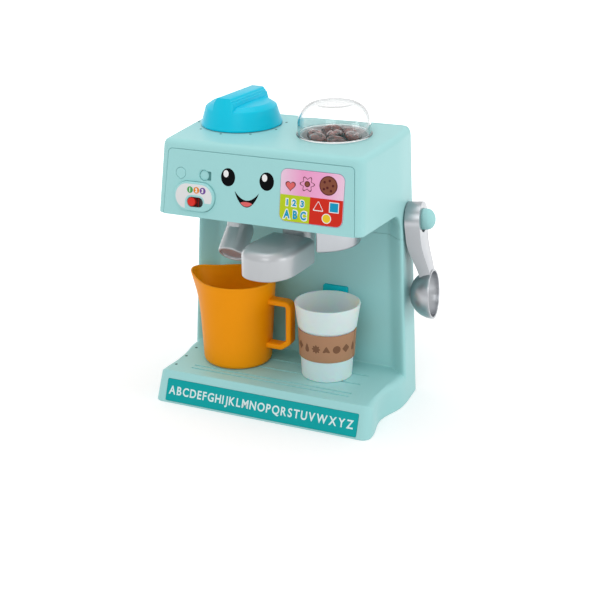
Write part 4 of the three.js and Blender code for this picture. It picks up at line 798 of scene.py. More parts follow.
# The label lies round the slot; below the slot's middle line only its part left of the slot stays
label_size = [length - LABEL_MARGIN for length in MODE_SIZE]
label_slot = [length + LABEL_MARGIN for length in SLOT_SIZE]
label_levels = rim_levels(MODE_PROUD - LABEL_SINK, MODE_PROUD + LABEL_PROUD, 0.1)
label = raw_object("mode_label_skin", slab(oval(label_size, MODE_CENTRE), label_levels))
carve(label, slab(oval(label_slot, SLOT_CENTRE), [(0, -DEEP), (0, DEEP)]),
      block(SLOT_CENTRE[0] - LABEL_CUT, 0, -2 * DEEP, SLOT_CENTRE[1], -DEEP, DEEP))
finish(label, WHITE, "machine", "mode_label")
move_mesh(label, FACE)

SLIDER, SLIDER_PLATE, SLIDER_CORNER, SLIDER_KNOB = (-73.2, 16.1), (13.0, 12.4), 1.2, 4.6
slider = combine(slab(growing(*SLIDER_PLATE, SLIDER_CORNER, SLIDER), [(0, -2.4), (0, -0.9)]),
                 rod(SLIDER_KNOB, -1.6, MODE_PROUD, SLIDER, 48, 0.8))
part("mode_slider_skin", place(slider, FACE), RED, "slider", "mode_slider")

# Push button: a cylinder with a low domed top and a flange behind the panel
BUTTON_FOOT, BUTTON_EDGE, BUTTON_TOP = -6.8, -2.2, -0.8
turn = np.linspace(0.1, math.pi / 2 - 0.02, 9)
button_shape = lathe(np.concatenate([
    [(0, BUTTON_FOOT), (BUTTON_RADIUS, BUTTON_FOOT), (BUTTON_RADIUS, BUTTON_EDGE)],
    np.stack([BUTTON_RADIUS * np.cos(turn), BUTTON_EDGE + (BUTTON_TOP - BUTTON_EDGE) * np.sin(turn)], -1),
    [(0, BUTTON_TOP)]]), 48, BUTTON)
flange = lathe([(0, -4.0), (6.9, -4.0), (6.9, -2.8), (0, -2.8)], 48, BUTTON)
part("push_button_skin", place(combine(button_shape, flange), FACE), MINT, "button", "push_button")
part("round_lens_skin", place(slab(lens_outline, rim_levels(-1.2, 0.05, 0.4)), FACE), MINT, "machine",
     "round_lens")
part("display_plate", place(slab(display_outline, rim_levels(-1.0, PLATE_PROUD, PLATE_ROUND)), FACE), DISPLAY,
     "machine", "display_window")
part("letter_plate", place(slab(strip_outline, rim_levels(-0.8, PLATE_PROUD, PLATE_ROUND)), BASE_FACE), TEAL,
     "machine", "letter_strip")
tab_shape = combine(slab(tab_outline, rim_levels(FLANGE_FRONT, TAB_PROUD, TAB_ROUND)),
                    slab(growing(*FLANGE_SIZE, FLANGE_CORNER), [(0, FLANGE_BACK), (0, FLANGE_FRONT)]))
part("cup_sensor_skin", place(tab_shape, tab_frame), TAB, "sensor_tab", "cup_sensor")

# Dial: a turned cap, and a stepped bar across it that a cone of its own cuts off at both ends

DIAL_CAP = [(0, 0.8), (43.6, 0.8), (43.6, 2.5), (38.2, 20), (31.5, 24.4), (0, 25.5)]
DIAL_ROUNDS = [0.4, 3, 3.2, 5]
GRIP_SECTION = [(12.6, 18), (11.9, 29.2), (10.4, 29.6), (10.3, 31.4), (8.9, 31.8), (8.2, 33.4), (7.0, 33.98)]
GRIP_ROUNDS, GRIP_REACH = [0.5, 0.4, 0.4, 0.5, 0.8], 46.0
GRIP_CONE = [(0, 36), (33.3, 36), (39.4, 16), (0, 16)]
DIAL_TURN = math.radians(-6.5)


def grip_shape():
    """Half of the bar's section and its mirror image, carried along the bar."""
    right = round_path(GRIP_SECTION, GRIP_ROUNDS, 4)
    section = np.concatenate([right, right[::-1] * np.array([-1, 1])])
    return ring_shape([np.stack([section[:, 0], np.full(len(section), y), section[:, 1]], -1)
                       for y in (-GRIP_REACH, GRIP_REACH)])


dial = raw_object("dial_skin", lathe(round_path(DIAL_CAP, DIAL_ROUNDS, 6), 128))
grip = raw_object("grip", grip_shape())
carve(grip, lathe(round_path(GRIP_CONE, [1, 0.5], 4), 128), operation="INTERSECT")
carve(dial, grip, operation="UNION")
soften(dial, 0.7, 3, 35)
finish(dial, AQUA, "dial", "dial_knob", angle=40)
move_mesh(dial, TOP @ frame_at((*DIAL, 0), DIAL_TURN, "Z"))

# Bean window

DISH_PROFILE = [(0, -11), (35.8, -11), (35.8, 0), (34.2, 0), (34.2, -9.4), (0, -9.4)]
DISH_ROUNDS = [1, 0.3, 0.3, 3]
DOME_RADIUS, DOME_FLAT, DOME_STRAIGHT, DOME_TOP, DOME_WALL = 38.4, 18.6, 9.9, 32.98, 1.6
DOME_INNER_TOP = 31.4
LIP_RADIUS, LIP_LOW, LIP_HIGH, DOME_FOOT = 39.7, 0.3, 1.4, 3.0
BEAN_SIZE, BEAN_REACH, BEAN_RISES, RING_BEANS = (23, 17.5, 13), 21.5, (-1.2, -3.0), 6
dish_shape = lathe(round_path(DISH_PROFILE, DISH_ROUNDS, 4), 96, BEANS)
part("bean_dish_skin", place(dish_shape, TOP), WHITE, "machine", "bean_dish")


def dome_profile(inset):
    """A quarter of an ellipse from the straight foot to the flat top."""
    turn = np.linspace(0, np.pi / 2, 25)
    return np.stack([DOME_FLAT + (DOME_RADIUS - DOME_FLAT - inset) * np.cos(turn),
                     DOME_STRAIGHT + (DOME_TOP - DOME_STRAIGHT - inset) * np.sin(turn)], -1)


lip = round_path([(DOME_RADIUS, DOME_FOOT), (DOME_RADIUS, LIP_HIGH), (LIP_RADIUS, LIP_HIGH),
                  (LIP_RADIUS, LIP_LOW)], [0.3, 0.5], 4)
dome_shape = lathe(np.concatenate([
    [(0, DOME_TOP)], dome_profile(0)[::-1], lip, [(DOME_RADIUS - DOME_WALL, LIP_LOW)],
    dome_profile(DOME_WALL), [(0, DOME_INNER_TOP)]]), 128, BEANS)
part("bean_dome_skin", place(dome_shape, TOP), CLEAR, "machine", "bean_dome")


def bean_shape(length, width, height):
    """An ellipsoid, flatter above, with a wavy crease of bell-shaped section pressed in along its top."""
    turn = np.linspace(0, 2 * np.pi, 40, endpoint=False)[:, None]
    rise = np.linspace(-np.pi / 2, np.pi / 2, 25)[None]
    x = np.cos(rise) * np.cos(turn)
    y = np.cos(rise) * np.sin(turn)
    z = np.sin(rise) + 0 * turn
    bend = 0.12 * np.sin(2.4 * x)
    crease = 0.34 * np.exp(-((y - bend) / 0.13) ** 2) * np.clip(1.15 - x ** 2, 0, 1)
    z = np.where(z > 0, z * 0.86 - crease * np.clip(z * 2, 0, 1), z)
    points = np.stack([x * length / 2, y * width / 2, z * height / 2], -1).transpose(1, 0, 2)
    return ring_shape(points, capped=False)


random = np.random.default_rng(7)
for number in range(RING_BEANS + 1):
    turn = 2 * math.pi * number / RING_BEANS
    reach = BEAN_REACH if number < RING_BEANS else 0
    spot = Matrix.Translation((BEANS[0] + reach * math.cos(turn), BEANS[1] + reach * math.sin(turn),
                               BEAN_RISES[number % 2]))
    tilt = (Matrix.Rotation(turn + math.pi / 2 + random.uniform(-0.4, 0.4), 4, "Z")
            @ Matrix.Rotation(random.uniform(-0.25, 0.25), 4, "Y")
            @ Matrix.Rotation(random.uniform(-0.5, 0.5), 4, "X"))
    shape = place(bean_shape(*BEAN_SIZE), TOP @ np.array(spot @ tilt))
    part(f"bean_skin_{number + 1}", shape, BEAN, "machine", f"bean_{number + 1}")

# Grinder chute

CHUTE_CENTRE, CHUTE_RADIUS, CHUTE_FLAT, CHUTE_CORNER = (43.5, -18.0), 46.6, 60.5, 1.5
CHUTE_LOW, CHUTE_HIGH, CHUTE_FOOT, CORNER_RUN = 192.0, 217.7, 2.4, 2.0


def chute_outline(grow):
    """Less than half of a circle closed by a straight side, with small round corners."""
    (x, y), radius, flat = CHUTE_CENTRE, CHUTE_RADIUS + grow, CHUTE_FLAT - grow
    reach = math.acos((flat + CORNER_RUN - x) / radius)
    turn = np.linspace(-reach, reach, 72)
    arc = np.stack([x + radius * np.cos(turn), y + radius * np.sin(turn)], -1)
    end = radius * math.sin(reach) + 0.05
    path = np.concatenate([[(flat, y), (flat, y - end)], arc, [(flat, y + end), (flat, y)]])
    return round_path(path, [CHUTE_CORNER] + [0] * len(arc) + [CHUTE_CORNER], 4)[1:]


chute_levels = rim_levels(CHUTE_LOW, CHUTE_HIGH, 0.01, foot=CHUTE_FOOT, steps=6)
part("grinder_chute_skin", slab(chute_outline, chute_levels), BRIGHT, "machine", "grinder_chute", angle=30)

# Portafilter: a paddle on a round neck

PADDLE_HALF, PADDLE_BACK_HALF, PADDLE_CORNER = 28.0, 26.2, 3.5
PADDLE_BACK, PADDLE_WIDEST, PADDLE_NOSE, NOSE_POWER = -11.6, -56.6, 37.55, 2.35
PADDLE_LOW, PADDLE_HIGH, PADDLE_ROUND, PADDLE_FOOT = 168.0, 197.0, 9.0, 1.4
NECK_RADIUS, NECK_LOW, NECK_HIGH = 17.0, 172.0, 224.5
PADDLE_TURN = math.radians(-3.8)


def paddle_outline(grow):
    """Seen from above: a flat back with round corners, sides that widen forwards and a superellipse nose."""
    turn = np.linspace(0, np.pi, 73)
    across, ahead = np.cos(turn), np.clip(np.sin(turn), 0, 1)
    nose = np.stack([(PADDLE_HALF + grow) * np.sign(across) * np.abs(across) ** (2 / NOSE_POWER),
                     PADDLE_WIDEST - (PADDLE_NOSE + grow) * ahead ** (2 / NOSE_POWER)], -1)
    step = np.linspace(0, 1, 13)[:-1]
    half = PADDLE_BACK_HALF + (PADDLE_HALF - PADDLE_BACK_HALF) * (1 - (1 - step) ** 2) + grow
    y = PADDLE_BACK + grow - (PADDLE_BACK - PADDLE_WIDEST + grow) * step
    right = np.stack([half, y], -1)
    path = np.concatenate([[(0, y[0])], right, nose, right[::-1] * np.array([-1, 1]), [(0, y[0])]])
    return round_path(path, [PADDLE_CORNER] + [0] * (len(path) - 4) + [PADDLE_CORNER], 6)[1:]


paddle = slab(paddle_outline, rim_levels(PADDLE_LOW, PADDLE_HIGH, PADDLE_ROUND, foot=PADDLE_FOOT, steps=10))
portafilter = raw_object("portafilter_skin", paddle)
carve(portafilter, rod(NECK_RADIUS, NECK_LOW, NECK_HIGH, sides=96), operation="UNION")
finish(portafilter, SILVER, "portafilter", "portafilter")
move_mesh(portafilter, frame_at((*NECK, 0), PADDLE_TURN, "Z"))

# Steam wand: an upright neck, a ball, and a barrel that leans forwards with a shallow hollow in its end

BALL_RADIUS, BALL_Z, BARREL_TILT = 15.4, 185.0, -math.radians(44)
BARREL = [(0, 0), (BALL_RADIUS, 0), (15.2, -29.5), (12.5, -29.5), (12.5, -27.5), (0, -27.5)]
BARREL_ROUNDS = [0.5, 1.8, 0.8, 0.4]
COLLAR_RADIUS, COLLAR_HIGH, STEM_RADIUS, STEM_HIGH = 13.4, 32.7, 7.0, 39.5
wand = raw_object("steam_wand_skin", place(lathe(round_path(BARREL, BARREL_ROUNDS, 5), 64),
                                           frame_at((0, 0, 0), BARREL_TILT)))
turn = np.linspace(-math.pi / 2, math.pi / 2, 41)
ball = BALL_RADIUS * np.stack([np.cos(turn), np.sin(turn)], -1)
carve(wand, lathe(ball, 64), rod(COLLAR_RADIUS, 0, COLLAR_HIGH, sides=64),
      rod(STEM_RADIUS, 0, STEM_HIGH, sides=48), operation="UNION")
soften(wand, 0.8, 3, 40)
finish(wand, SILVER, "wand", "steam_wand", angle=40)
move_mesh(wand, frame_at((*WAND, BALL_Z)))

# Scoop and hook, in a frame on the housing's side: u runs to the back, v up and w outwards

SIDE_ORIGIN, SIDE_ANGLE = (137.5, 50.8, 206), math.radians(5)
SIDE = (np.array(Matrix.Translation(SIDE_ORIGIN) @ Matrix.Rotation(SIDE_ANGLE, 4, "Z")
                 @ Matrix.Rotation(-SIDE_ANGLE, 4, "Y"))
        @ np.array([[0, 0, 1, 0], [1, 0, 0, 0], [0, 1, 0, 0], [0, 0, 0, 1]], float))
SCOOP_RING, SCOOP_HOLE, SCOOP_HALF, SCOOP_TOP, SCOOP_END = 20, 13, 8.5, 24, -67.95
EASE_START, RIM_W, THICK_TOP, THICK_END = -18.2, 7.1, 16, 12
CHANNEL_INSET, CHANNEL_BACK, CHANNEL_LOW, CHANNEL_HIGH = 2, 6, -75, -22
BOWL_V, BOWL_OUTER, BOWL_INNER, BOWL_OPEN = -82.8, (27, 26), (25, 24), 20
SCOOP_CUT, CHANNEL_CUT = 30, 40


def scoop_side(face, back):
    """Side view of the handle in (v, w): straight at the ring, then half a cosine wave out to the rim."""
    step = np.linspace(0, 1, 25)
    v = EASE_START + (SCOOP_END - EASE_START) * step
    ease = (1 - np.cos(np.pi * step)) / 2
    front = np.stack([v, RIM_W * ease - face], -1)
    rear_run = np.stack([v, RIM_W * ease - (THICK_TOP + (THICK_END - THICK_TOP) * ease) - back], -1)
    return np.concatenate([[(SCOOP_TOP, -face)], front, rear_run[::-1], [(SCOOP_TOP, -THICK_TOP - back)]])


def along_u(section, reach):
    """A (v, w) outline carried along u, as far to each side."""
    return ring_shape([np.column_stack([np.full(len(section), u), section]) for u in (-reach, reach)])


def scoop_outline(inset):
    """Front view of the handle in (u, v): an arc, and two sides from it to the narrow lower end."""
    ring, half = SCOOP_RING - inset, SCOOP_HALF - inset
    touch = math.atan2(SCOOP_END, half) + math.acos(ring / math.hypot(half, SCOOP_END))
    turn = np.linspace(touch, np.pi - touch, 64)
    arc = np.stack([ring * np.cos(turn), ring * np.sin(turn)], -1)
    return np.concatenate([[(half, SCOOP_END)], arc, [(-half, SCOOP_END)]])


def flat_prism(outline, reach):
    """A (u, v) outline carried along w, as far to each side."""
    return ring_shape([np.column_stack([outline, np.full(len(outline), w)]) for w in (-reach, reach)])


def bowl(radius, depth, w_top):
    """Half of an ellipsoid, with a straight wall from its rim up to w_top."""
    turn = np.linspace(0, np.pi / 2, 25)
    curve = np.stack([radius * np.cos(turn), RIM_W - depth * np.sin(turn)], -1)
    return lathe(np.concatenate([[(0, w_top), (radius, w_top)], curve]), 96, (0, BOWL_V))


scoop = raw_object("scoop_skin", flat_prism(scoop_outline(0), SCOOP_CUT))
carve(scoop, along_u(scoop_side(0, 0), SCOOP_CUT), operation="INTERSECT")
channel = raw_object("channel", flat_prism(scoop_outline(CHANNEL_INSET), SCOOP_CUT))
carve(channel, along_u(scoop_side(CHANNEL_INSET, CHANNEL_BACK), CHANNEL_CUT),
      block(-CHANNEL_CUT, CHANNEL_CUT, CHANNEL_LOW, CHANNEL_HIGH, -CHANNEL_CUT, CHANNEL_CUT),
      operation="INTERSECT")
carve(scoop, channel)
carve(scoop, bowl(*BOWL_OUTER, RIM_W), operation="UNION")
carve(scoop, bowl(*BOWL_INNER, BOWL_OPEN), rod(SCOOP_HOLE, -CHANNEL_CUT, CHANNEL_CUT))
soften(scoop, 0.7, 3, 38)
finish(scoop, BRIGHT, "scoop", "scoop", angle=40)
move_mesh(scoop, SIDE)

PEG_HALF, PEG_V, PEG_FOOT, PEG_STRAIGHT, PEG_DOME = (8.5, 11.475), 1.225, -23.0, 4.5, 8.5
PEG_DISC, PEG_DISC_LOW, PEG_DISC_HIGH, PEG_DISC_RIM = 12.5, -23.5, -16.3, 0.8
HOOK_GAP = GAP * 0.2


def peg_ring(size, w):
    """The peg's elliptical section, scaled by size, at a height w."""
    turn = np.linspace(0, 2 * np.pi, 64, endpoint=False)
    return np.stack([PEG_HALF[0] * size * np.cos(turn), PEG_V + PEG_HALF[1] * size * np.sin(turn),
                     np.full(64, w)], -1)


peg_tip = [peg_ring(math.cos(step), PEG_STRAIGHT + PEG_DOME * math.sin(step))
           for step in np.linspace(0, np.pi / 2, 12)]
hook = raw_object("scoop_hook_skin", ring_shape([peg_ring(1, PEG_FOOT)] + peg_tip))
carve(hook, rod(PEG_DISC, PEG_DISC_LOW, PEG_DISC_HIGH, rim=PEG_DISC_RIM), operation="UNION")
move_mesh(hook, SIDE)
carve(hook, housing_skin(-HOOK_GAP, INNER_ARC, INNER_STEPS))
finish(hook, MINT, "machine", "scoop_hook")

# Pitcher

TRAY_TOP, PITCHER = 34.3, (-60.0, -0.9)
PITCHER_HEIGHT, PITCHER_LOW, PITCHER_HIGH = 97, 38.2, 43.4
PITCHER_FOOT, PITCHER_FOOT_RADIUS, PITCHER_WALL, RIM_ROUND = 5, 34, 2.4, 1.2
SPOUT_START, SPOUT_REACH, SPOUT_DEGREES = 0.45, 12.5, 26
LIFT_START, LIFT_HEIGHT, LIFT_POWER = 0.86, 4, 1.5


def pitcher_rings(heights, inset, sides=128):
    """Rings of the pitcher: a cone with a rounded foot. Its spout on the left grows with the square of the
    height from its start, and fades round the wall in a bell curve. Near its top the rim is lifted there."""
    heights = np.asarray(heights, float)[:, None]
    share = heights / PITCHER_HEIGHT
    radius = PITCHER_LOW + (PITCHER_HIGH - PITCHER_LOW) * share
    rise = np.clip(1 - heights / PITCHER_FOOT, 0, 1)
    radius = radius + (PITCHER_FOOT_RADIUS - radius) * (1 - np.sqrt(1 - rise ** 2))
    swell = np.clip((share - SPOUT_START) / (1 - SPOUT_START), 0, None) ** 2
    angle = np.linspace(0, 2 * np.pi, sides, endpoint=False)[None]
    lip = swell * np.exp(-(np.degrees(np.abs(angle - np.pi)) / SPOUT_DEGREES) ** 2)
    reach = radius - inset + SPOUT_REACH * lip
    lift = LIFT_HEIGHT * lip * np.clip((share - LIFT_START) / (1 - LIFT_START), 0, 1) ** LIFT_POWER
    return np.stack([reach * np.cos(angle), reach * np.sin(angle), TRAY_TOP + heights + lift], -1)


levels = np.concatenate([PITCHER_FOOT * (1 - np.cos(np.linspace(0, np.pi / 2, 9))),
                         np.linspace(PITCHER_FOOT, PITCHER_HEIGHT, 40)[1:-1]])
outer_wall = pitcher_rings(levels, 0)
top_roll = [pitcher_rings([PITCHER_HEIGHT - RIM_ROUND * (1 - math.sin(t))], RIM_ROUND * (1 - math.cos(t)))[0]
            for t in np.linspace(0, math.pi, 9)]
inner_wall = pitcher_rings(levels[:8:-1], PITCHER_WALL)
floor_ring = pitcher_rings([PITCHER_FOOT], 6.0)
pitcher = raw_object("pitcher_skin", ring_shape(np.concatenate([
    outer_wall, np.array(top_roll), inner_wall, floor_ring])))


def sweep(path, width, thickness, radius):
    """A rounded rectangle carried along a path in (x, z); its width runs along Y."""
    path = np.asarray(path, float)
    along = np.gradient(path, axis=0)
    along /= np.linalg.norm(along, axis=1, keepdims=True)
    across = np.stack([along[:, 1], -along[:, 0]], -1)
    section = rounded_outline(width, thickness, radius, steps=5)
    x = path[:, None, 0] + across[:, None, 0] * section[None, :, 1]
    z = path[:, None, 1] + across[:, None, 1] * section[None, :, 1]
    return ring_shape(np.stack([x, np.broadcast_to(section[None, :, 0], x.shape), z], -1))


def dense(path, step):
    """The same line with points closer together."""
    path = np.asarray(path, float)
    runs = []
    for first, last in zip(path, path[1:]):
        count = max(int(np.linalg.norm(last - first) / step), 1)
        runs.append(first + (last - first) * np.linspace(0, 1, count, endpoint=False)[:, None])
    return np.concatenate(runs + [path[-1:]])


HANDLE_WIDTH, HANDLE_THICK, HANDLE_ROUND, HANDLE_START, HANDLE_REACH = 14, 6.4, 1.8, 38, 26
HANDLE_DROP, HANDLE_STRAIGHT, HANDLE_SLANT, HANDLE_LENGTH = 19, 48, 12.5, 54.8
HANDLE_TOP = TRAY_TOP + PITCHER_HEIGHT - HANDLE_DROP
wall_share = (HANDLE_TOP - TRAY_TOP) / PITCHER_HEIGHT
handle_out = PITCHER_LOW + (PITCHER_HIGH - PITCHER_LOW) * wall_share + HANDLE_REACH
handle_middle = handle_out - HANDLE_THICK / 2
handle_path = round_path([
    (HANDLE_START, HANDLE_TOP - HANDLE_THICK / 2), (handle_middle, HANDLE_TOP - HANDLE_THICK / 2),
    (handle_middle, HANDLE_TOP - HANDLE_STRAIGHT), (handle_out - HANDLE_SLANT, HANDLE_TOP - HANDLE_LENGTH),
    (HANDLE_START, HANDLE_TOP - HANDLE_LENGTH)], [5, 5, 6], 6)
handle = raw_object("handle", sweep(dense(handle_path, 4), HANDLE_WIDTH, HANDLE_THICK, HANDLE_ROUND))
hollow = np.concatenate([floor_ring, inner_wall[::-1], pitcher_rings([110.0], PITCHER_WALL)])
carve(handle, ring_shape(hollow))
carve(pitcher, handle, operation="UNION")
finish(pitcher, ORANGE, "pitcher", "pitcher", angle=40)
move_mesh(pitcher, frame_at((*PITCHER, 0)))

# Cup and sleeve

CUP, CUP_LOW, CUP_STEP_RADIUS, CUP_STEP = (49.3, -1.3), 27.8, 30.4, 55.5
CUP_PROFILE = [(0, 0), (CUP_LOW, 0), (CUP_STEP_RADIUS, CUP_STEP), (32.2, 57.5), (36, 84), (34.2, 84),
               (30.4, 57.5), (26, 1.8), (0, 1.8)]
CUP_ROUNDS = [1.2, 0.6, 1.2, 0.85, 0.85, 3, 3]
SLEEVE_GAP, SLEEVE_THICK, SLEEVE_LOW, SLEEVE_HIGH, SLEEVE_ROUND, SLIT = 0.3, 1.2, 24, 55.2, 0.3, 0.035
cup_profile = round_path(CUP_PROFILE, CUP_ROUNDS, 5) + np.array([0, TRAY_TOP])
part("cup_skin", lathe(cup_profile, 128, CUP), CUP_WHITE, "cup", "cup")


def sleeve_radius(height):
    """The cup's radius at a height below its step, with the gap to the sleeve added."""
    return CUP_LOW + (CUP_STEP_RADIUS - CUP_LOW) * height / CUP_STEP + SLEEVE_GAP


def sleeve_shape():
    """A thin cone open at a narrow slit on its right."""
    turn = np.linspace(SLIT, 2 * np.pi - SLIT, 140)
    corners = [(0, SLEEVE_LOW), (SLEEVE_THICK, SLEEVE_LOW), (SLEEVE_THICK, SLEEVE_HIGH), (0, SLEEVE_HIGH),
               (0, SLEEVE_LOW)]
    section = round_path(corners, [SLEEVE_ROUND] * 3, 3)
    radius = sleeve_radius(section[:, 1]) + section[:, 0]
    rings = np.stack([radius[None] * np.cos(turn)[:, None], radius[None] * np.sin(turn)[:, None],
                      np.broadcast_to(section[None, :, 1] + TRAY_TOP, (len(turn), len(section)))], -1)
    return ring_shape(rings + np.array([*CUP, 0]))


part("cup_sleeve_skin", sleeve_shape(), CARD, "cup", "cup_sleeve")

# Prints: thin pieces that lie on the surfaces

PRINT_LOW, PRINT_HIGH = -0.12, 0.1
FILL_TOP, HALO_TOP, LINE_TOP, COUNT_TOP, CHIP_TOP = 0.13, 0.14, 0.16, 0.18, 0.2


def flat_print(points, low=PRINT_LOW, high=PRINT_HIGH):
    """A filled outline."""
    return ring_shape([np.column_stack([points, np.full(len(points), height)]) for height in (low, high)])


def line_print(points, width, low=PRINT_LOW, high=PRINT_HIGH):
    """The line along an outline: between it and its copy that is scaled down about its middle."""
    points = np.asarray(points, float)
    middle = (points.max(0) + points.min(0)) / 2
    inside = middle + (points - middle) * (1 - 2 * width / np.ptp(points, axis=0).max())
    rings = [np.column_stack([loop, np.full(len(loop), height)])
             for loop, height in ((points, low), (points, high), (inside, high), (inside, low))]
    rings = np.array(rings)
    return rings.reshape(-1, 3), grid_faces(4, len(points), wrap_rows=True, wrap_cols=True)


def ellipse(u, v, across, up, steps=40):
    """An ellipse's outline from its two half widths."""
    turn = np.linspace(0, 2 * np.pi, steps, endpoint=False)
    return np.stack([u + across * np.cos(turn), v + up * np.sin(turn)], -1)


def polar(u, v, reach):
    """A closed outline given by its reach at each of many angles."""
    turn = np.linspace(0, 2 * np.pi, 96, endpoint=False)
    return np.stack([u + reach(turn) * np.cos(turn), v + reach(turn) * np.sin(turn)], -1)


def polygon(u, v, size, sides, turn=90.0, rounding=0.0):
    """A regular polygon whose first corner is at the angle turn, with round corners where asked."""
    angle = np.radians(turn) + np.arange(sides) * 2 * np.pi / sides
    corners = np.stack([u + size * np.cos(angle), v + size * np.sin(angle)], -1)
    if rounding <= 0:
        return corners
    start = (corners[-1] + corners[0]) / 2
    return round_path([start, *corners, start], [rounding] * sides, 4)[:-1]


def heart(u, v, size):
    """A heart: a cubed sine across, and a sum of cosines of one to four times the angle upwards."""
    turn = np.linspace(0, 2 * np.pi, 64, endpoint=False)
    across = np.sin(turn) ** 3
    up = (13 * np.cos(turn) - 5 * np.cos(2 * turn) - 2 * np.cos(3 * turn) - np.cos(4 * turn)) / 16 + 0.12
    return np.stack([u + size * across, v + size * up], -1)


def drop(u, v, size):
    """A drop: a cosine upwards, and a sine across that is narrowed to a point above."""
    turn = np.linspace(0, 2 * np.pi, 64, endpoint=False)
    across = 0.72 * np.sin(turn) * np.sin(turn / 2) ** 1.4
    return np.stack([u + size * across, v + size * np.cos(turn)], -1)


def letter_row(text, height, bold, u0, u1, foot, narrow=1.0, low=PRINT_LOW, high=PRINT_HIGH):
    """Characters of the built-in font between two places, with even gaps; capitals have the given height."""
    made = []
    for character in "H" + text:
        data = bpy.data.curves.new("letter", "FONT")
        data.body = character
        data.offset, data.extrude, data.resolution_u = bold, 0.5, 5
        obj = bpy.data.objects.new("letter", data)
        bpy.context.scene.collection.objects.link(obj)
        mesh = bpy.data.meshes.new_from_object(obj.evaluated_get(bpy.context.evaluated_depsgraph_get()))
        points = np.array([point.co[:] for point in mesh.vertices])
        made.append((points, [list(face.vertices) for face in mesh.polygons]))
        bpy.data.objects.remove(obj)
        bpy.data.curves.remove(data)
        bpy.data.meshes.remove(mesh)
    scale = height / np.ptp(made[0][0][:, 1])
    widths = [np.ptp(points[:, 0]) * scale * narrow for points, faces in made[1:]]
    gap = (u1 - u0 - sum(widths)) / max(len(text) - 1, 1)
    shapes, u = [], u0
    for (points, faces), width in zip(made[1:], widths):
        across = u + (points[:, 0] - points[:, 0].min()) * scale * narrow
        up = foot + (points[:, 1] + bold) * scale
        shapes.append((np.stack([across, up, np.where(points[:, 2] > 0, high, low)], -1), faces))
        u += width + gap
    return combine(*shapes)


def lay(name, shapes, matrix, colour, body="machine"):
    """Printed shapes of one colour, carried to their place."""
    return print_part(name, place(combine(*shapes), matrix), colour, body)


STRIP_FACE = BASE_FACE @ frame_at((0, 0, PLATE_PROUD))
lay("alphabet", [letter_row("ABCDEFGHIJKLMNOPQRSTUVWXYZ", 9.4, 0.022, -110.5, 109.1, 10.2, 0.86)], STRIP_FACE,
    "letter")

EYES, EYE_HALF = ((-33.2, 45.4), (10.2, 45.4)), (8, 9.2)
GLINT_LEFT, GLINT_UP, GLINT_HALF = 2.4, 3.4, (2.9, 3.7)
MOUTH_U, MOUTH_HALF, MOUTH_V, MOUTH_SAG, MOUTH_POWER, LIP_SAG = -11.5, 13.6, 32.4, 15.6, 0.85, 8.6
TONGUE_SHARE, TONGUE_V, TONGUE_TOP, TONGUE_RISE = 0.5, 33.2, 20.4, 1.9


def mouth_line(across, v, sag, power=1.0):
    """A line that sags below v by one minus the square of the place across, raised to a power."""
    return np.stack([MOUTH_U + MOUTH_HALF * across, v - sag * (1 - across ** 2) ** power], -1)


lay("eyes", [flat_print(ellipse(u, v, *EYE_HALF, 56)) for u, v in EYES], FACE, "black")
lay("glints", [flat_print(ellipse(u - GLINT_LEFT, v + GLINT_UP, *GLINT_HALF), 0, LINE_TOP) for u, v in EYES],
    FACE, "white")
across = np.linspace(-1, 1, 41)
smile_low = mouth_line(across, MOUTH_V, MOUTH_SAG, MOUTH_POWER)
smile_high = mouth_line(across, MOUTH_V, LIP_SAG)
lay("smile", [flat_print(np.concatenate([smile_low, smile_high[-2:0:-1]]))], FACE, "black")
across = np.linspace(-TONGUE_SHARE, TONGUE_SHARE, 25)
tongue_low = mouth_line(across, TONGUE_V, MOUTH_SAG, MOUTH_POWER)
tongue_high = np.stack([MOUTH_U + MOUTH_HALF * across,
                        TONGUE_TOP + TONGUE_RISE * np.sqrt(1 - (across / TONGUE_SHARE) ** 2)], -1)
lay("tongue", [flat_print(np.concatenate([tongue_low, tongue_high[-2:0:-1]]), 0, LINE_TOP)], FACE, "rose")

# Display: own motifs in three fields

FIELD = FACE @ frame_at((0, 0, PLATE_PROUD))
DIVIDE_U, DIVIDE_V = 58.4, 35.0
rim = display_outline(-0.3)
for name, side_of, colour in (("green_field", np.minimum, "green"), ("red_field", np.maximum, "red")):
    field = np.stack([side_of(rim[:, 0], DIVIDE_U), np.minimum(rim[:, 1], DIVIDE_V)], -1)
    lay(name, [flat_print(field)], FIELD, colour)
COOKIE, LOVE, FLOWER, FLOWER_EYE = (77.2, 48.3), (36.6, 43.6), (54.6, 47.6), (3.0, 3.0)
flower = polar(*FLOWER, lambda turn: 6.6 + 1.5 * np.cos(6 * turn))
flower_eye = ellipse(*FLOWER, *FLOWER_EYE)
cookie = ellipse(*COOKIE, 9.6, 9.6, 64)
love = heart(*LOVE, 5.6)
lay("motif_fills", [flat_print(cookie, high=FILL_TOP), flat_print(flower_eye, high=FILL_TOP)], FIELD, "brown")
lay("motif_hearts", [flat_print(love, high=FILL_TOP)], FIELD, "rose")
lay("motif_lines", [line_print(outline, width, high=LINE_TOP) for outline, width in (
    (flower, 0.9), (cookie, 0.9), (love, 0.9), (flower_eye, 0.8))], FIELD, "line")
CHIPS, CHIP_RADIUS = ((73, 51.5), (78.4, 53.2), (82, 48.6), (76.2, 46.2), (80.2, 43.4), (72.6, 44.6)), 1.3
lay("motif_chips", [flat_print(ellipse(u, v, CHIP_RADIUS, CHIP_RADIUS, 20), high=CHIP_TOP) for u, v in CHIPS],
    FIELD, "line")
lay("count_halo", [letter_row("123", 8.4, 0.13, 32.0, 53.2, 23.2, high=HALO_TOP),
                   letter_row("ABC", 10.6, 0.11, 29.2, 56.2, 10.2, 0.8, high=HALO_TOP)], FIELD, "white")
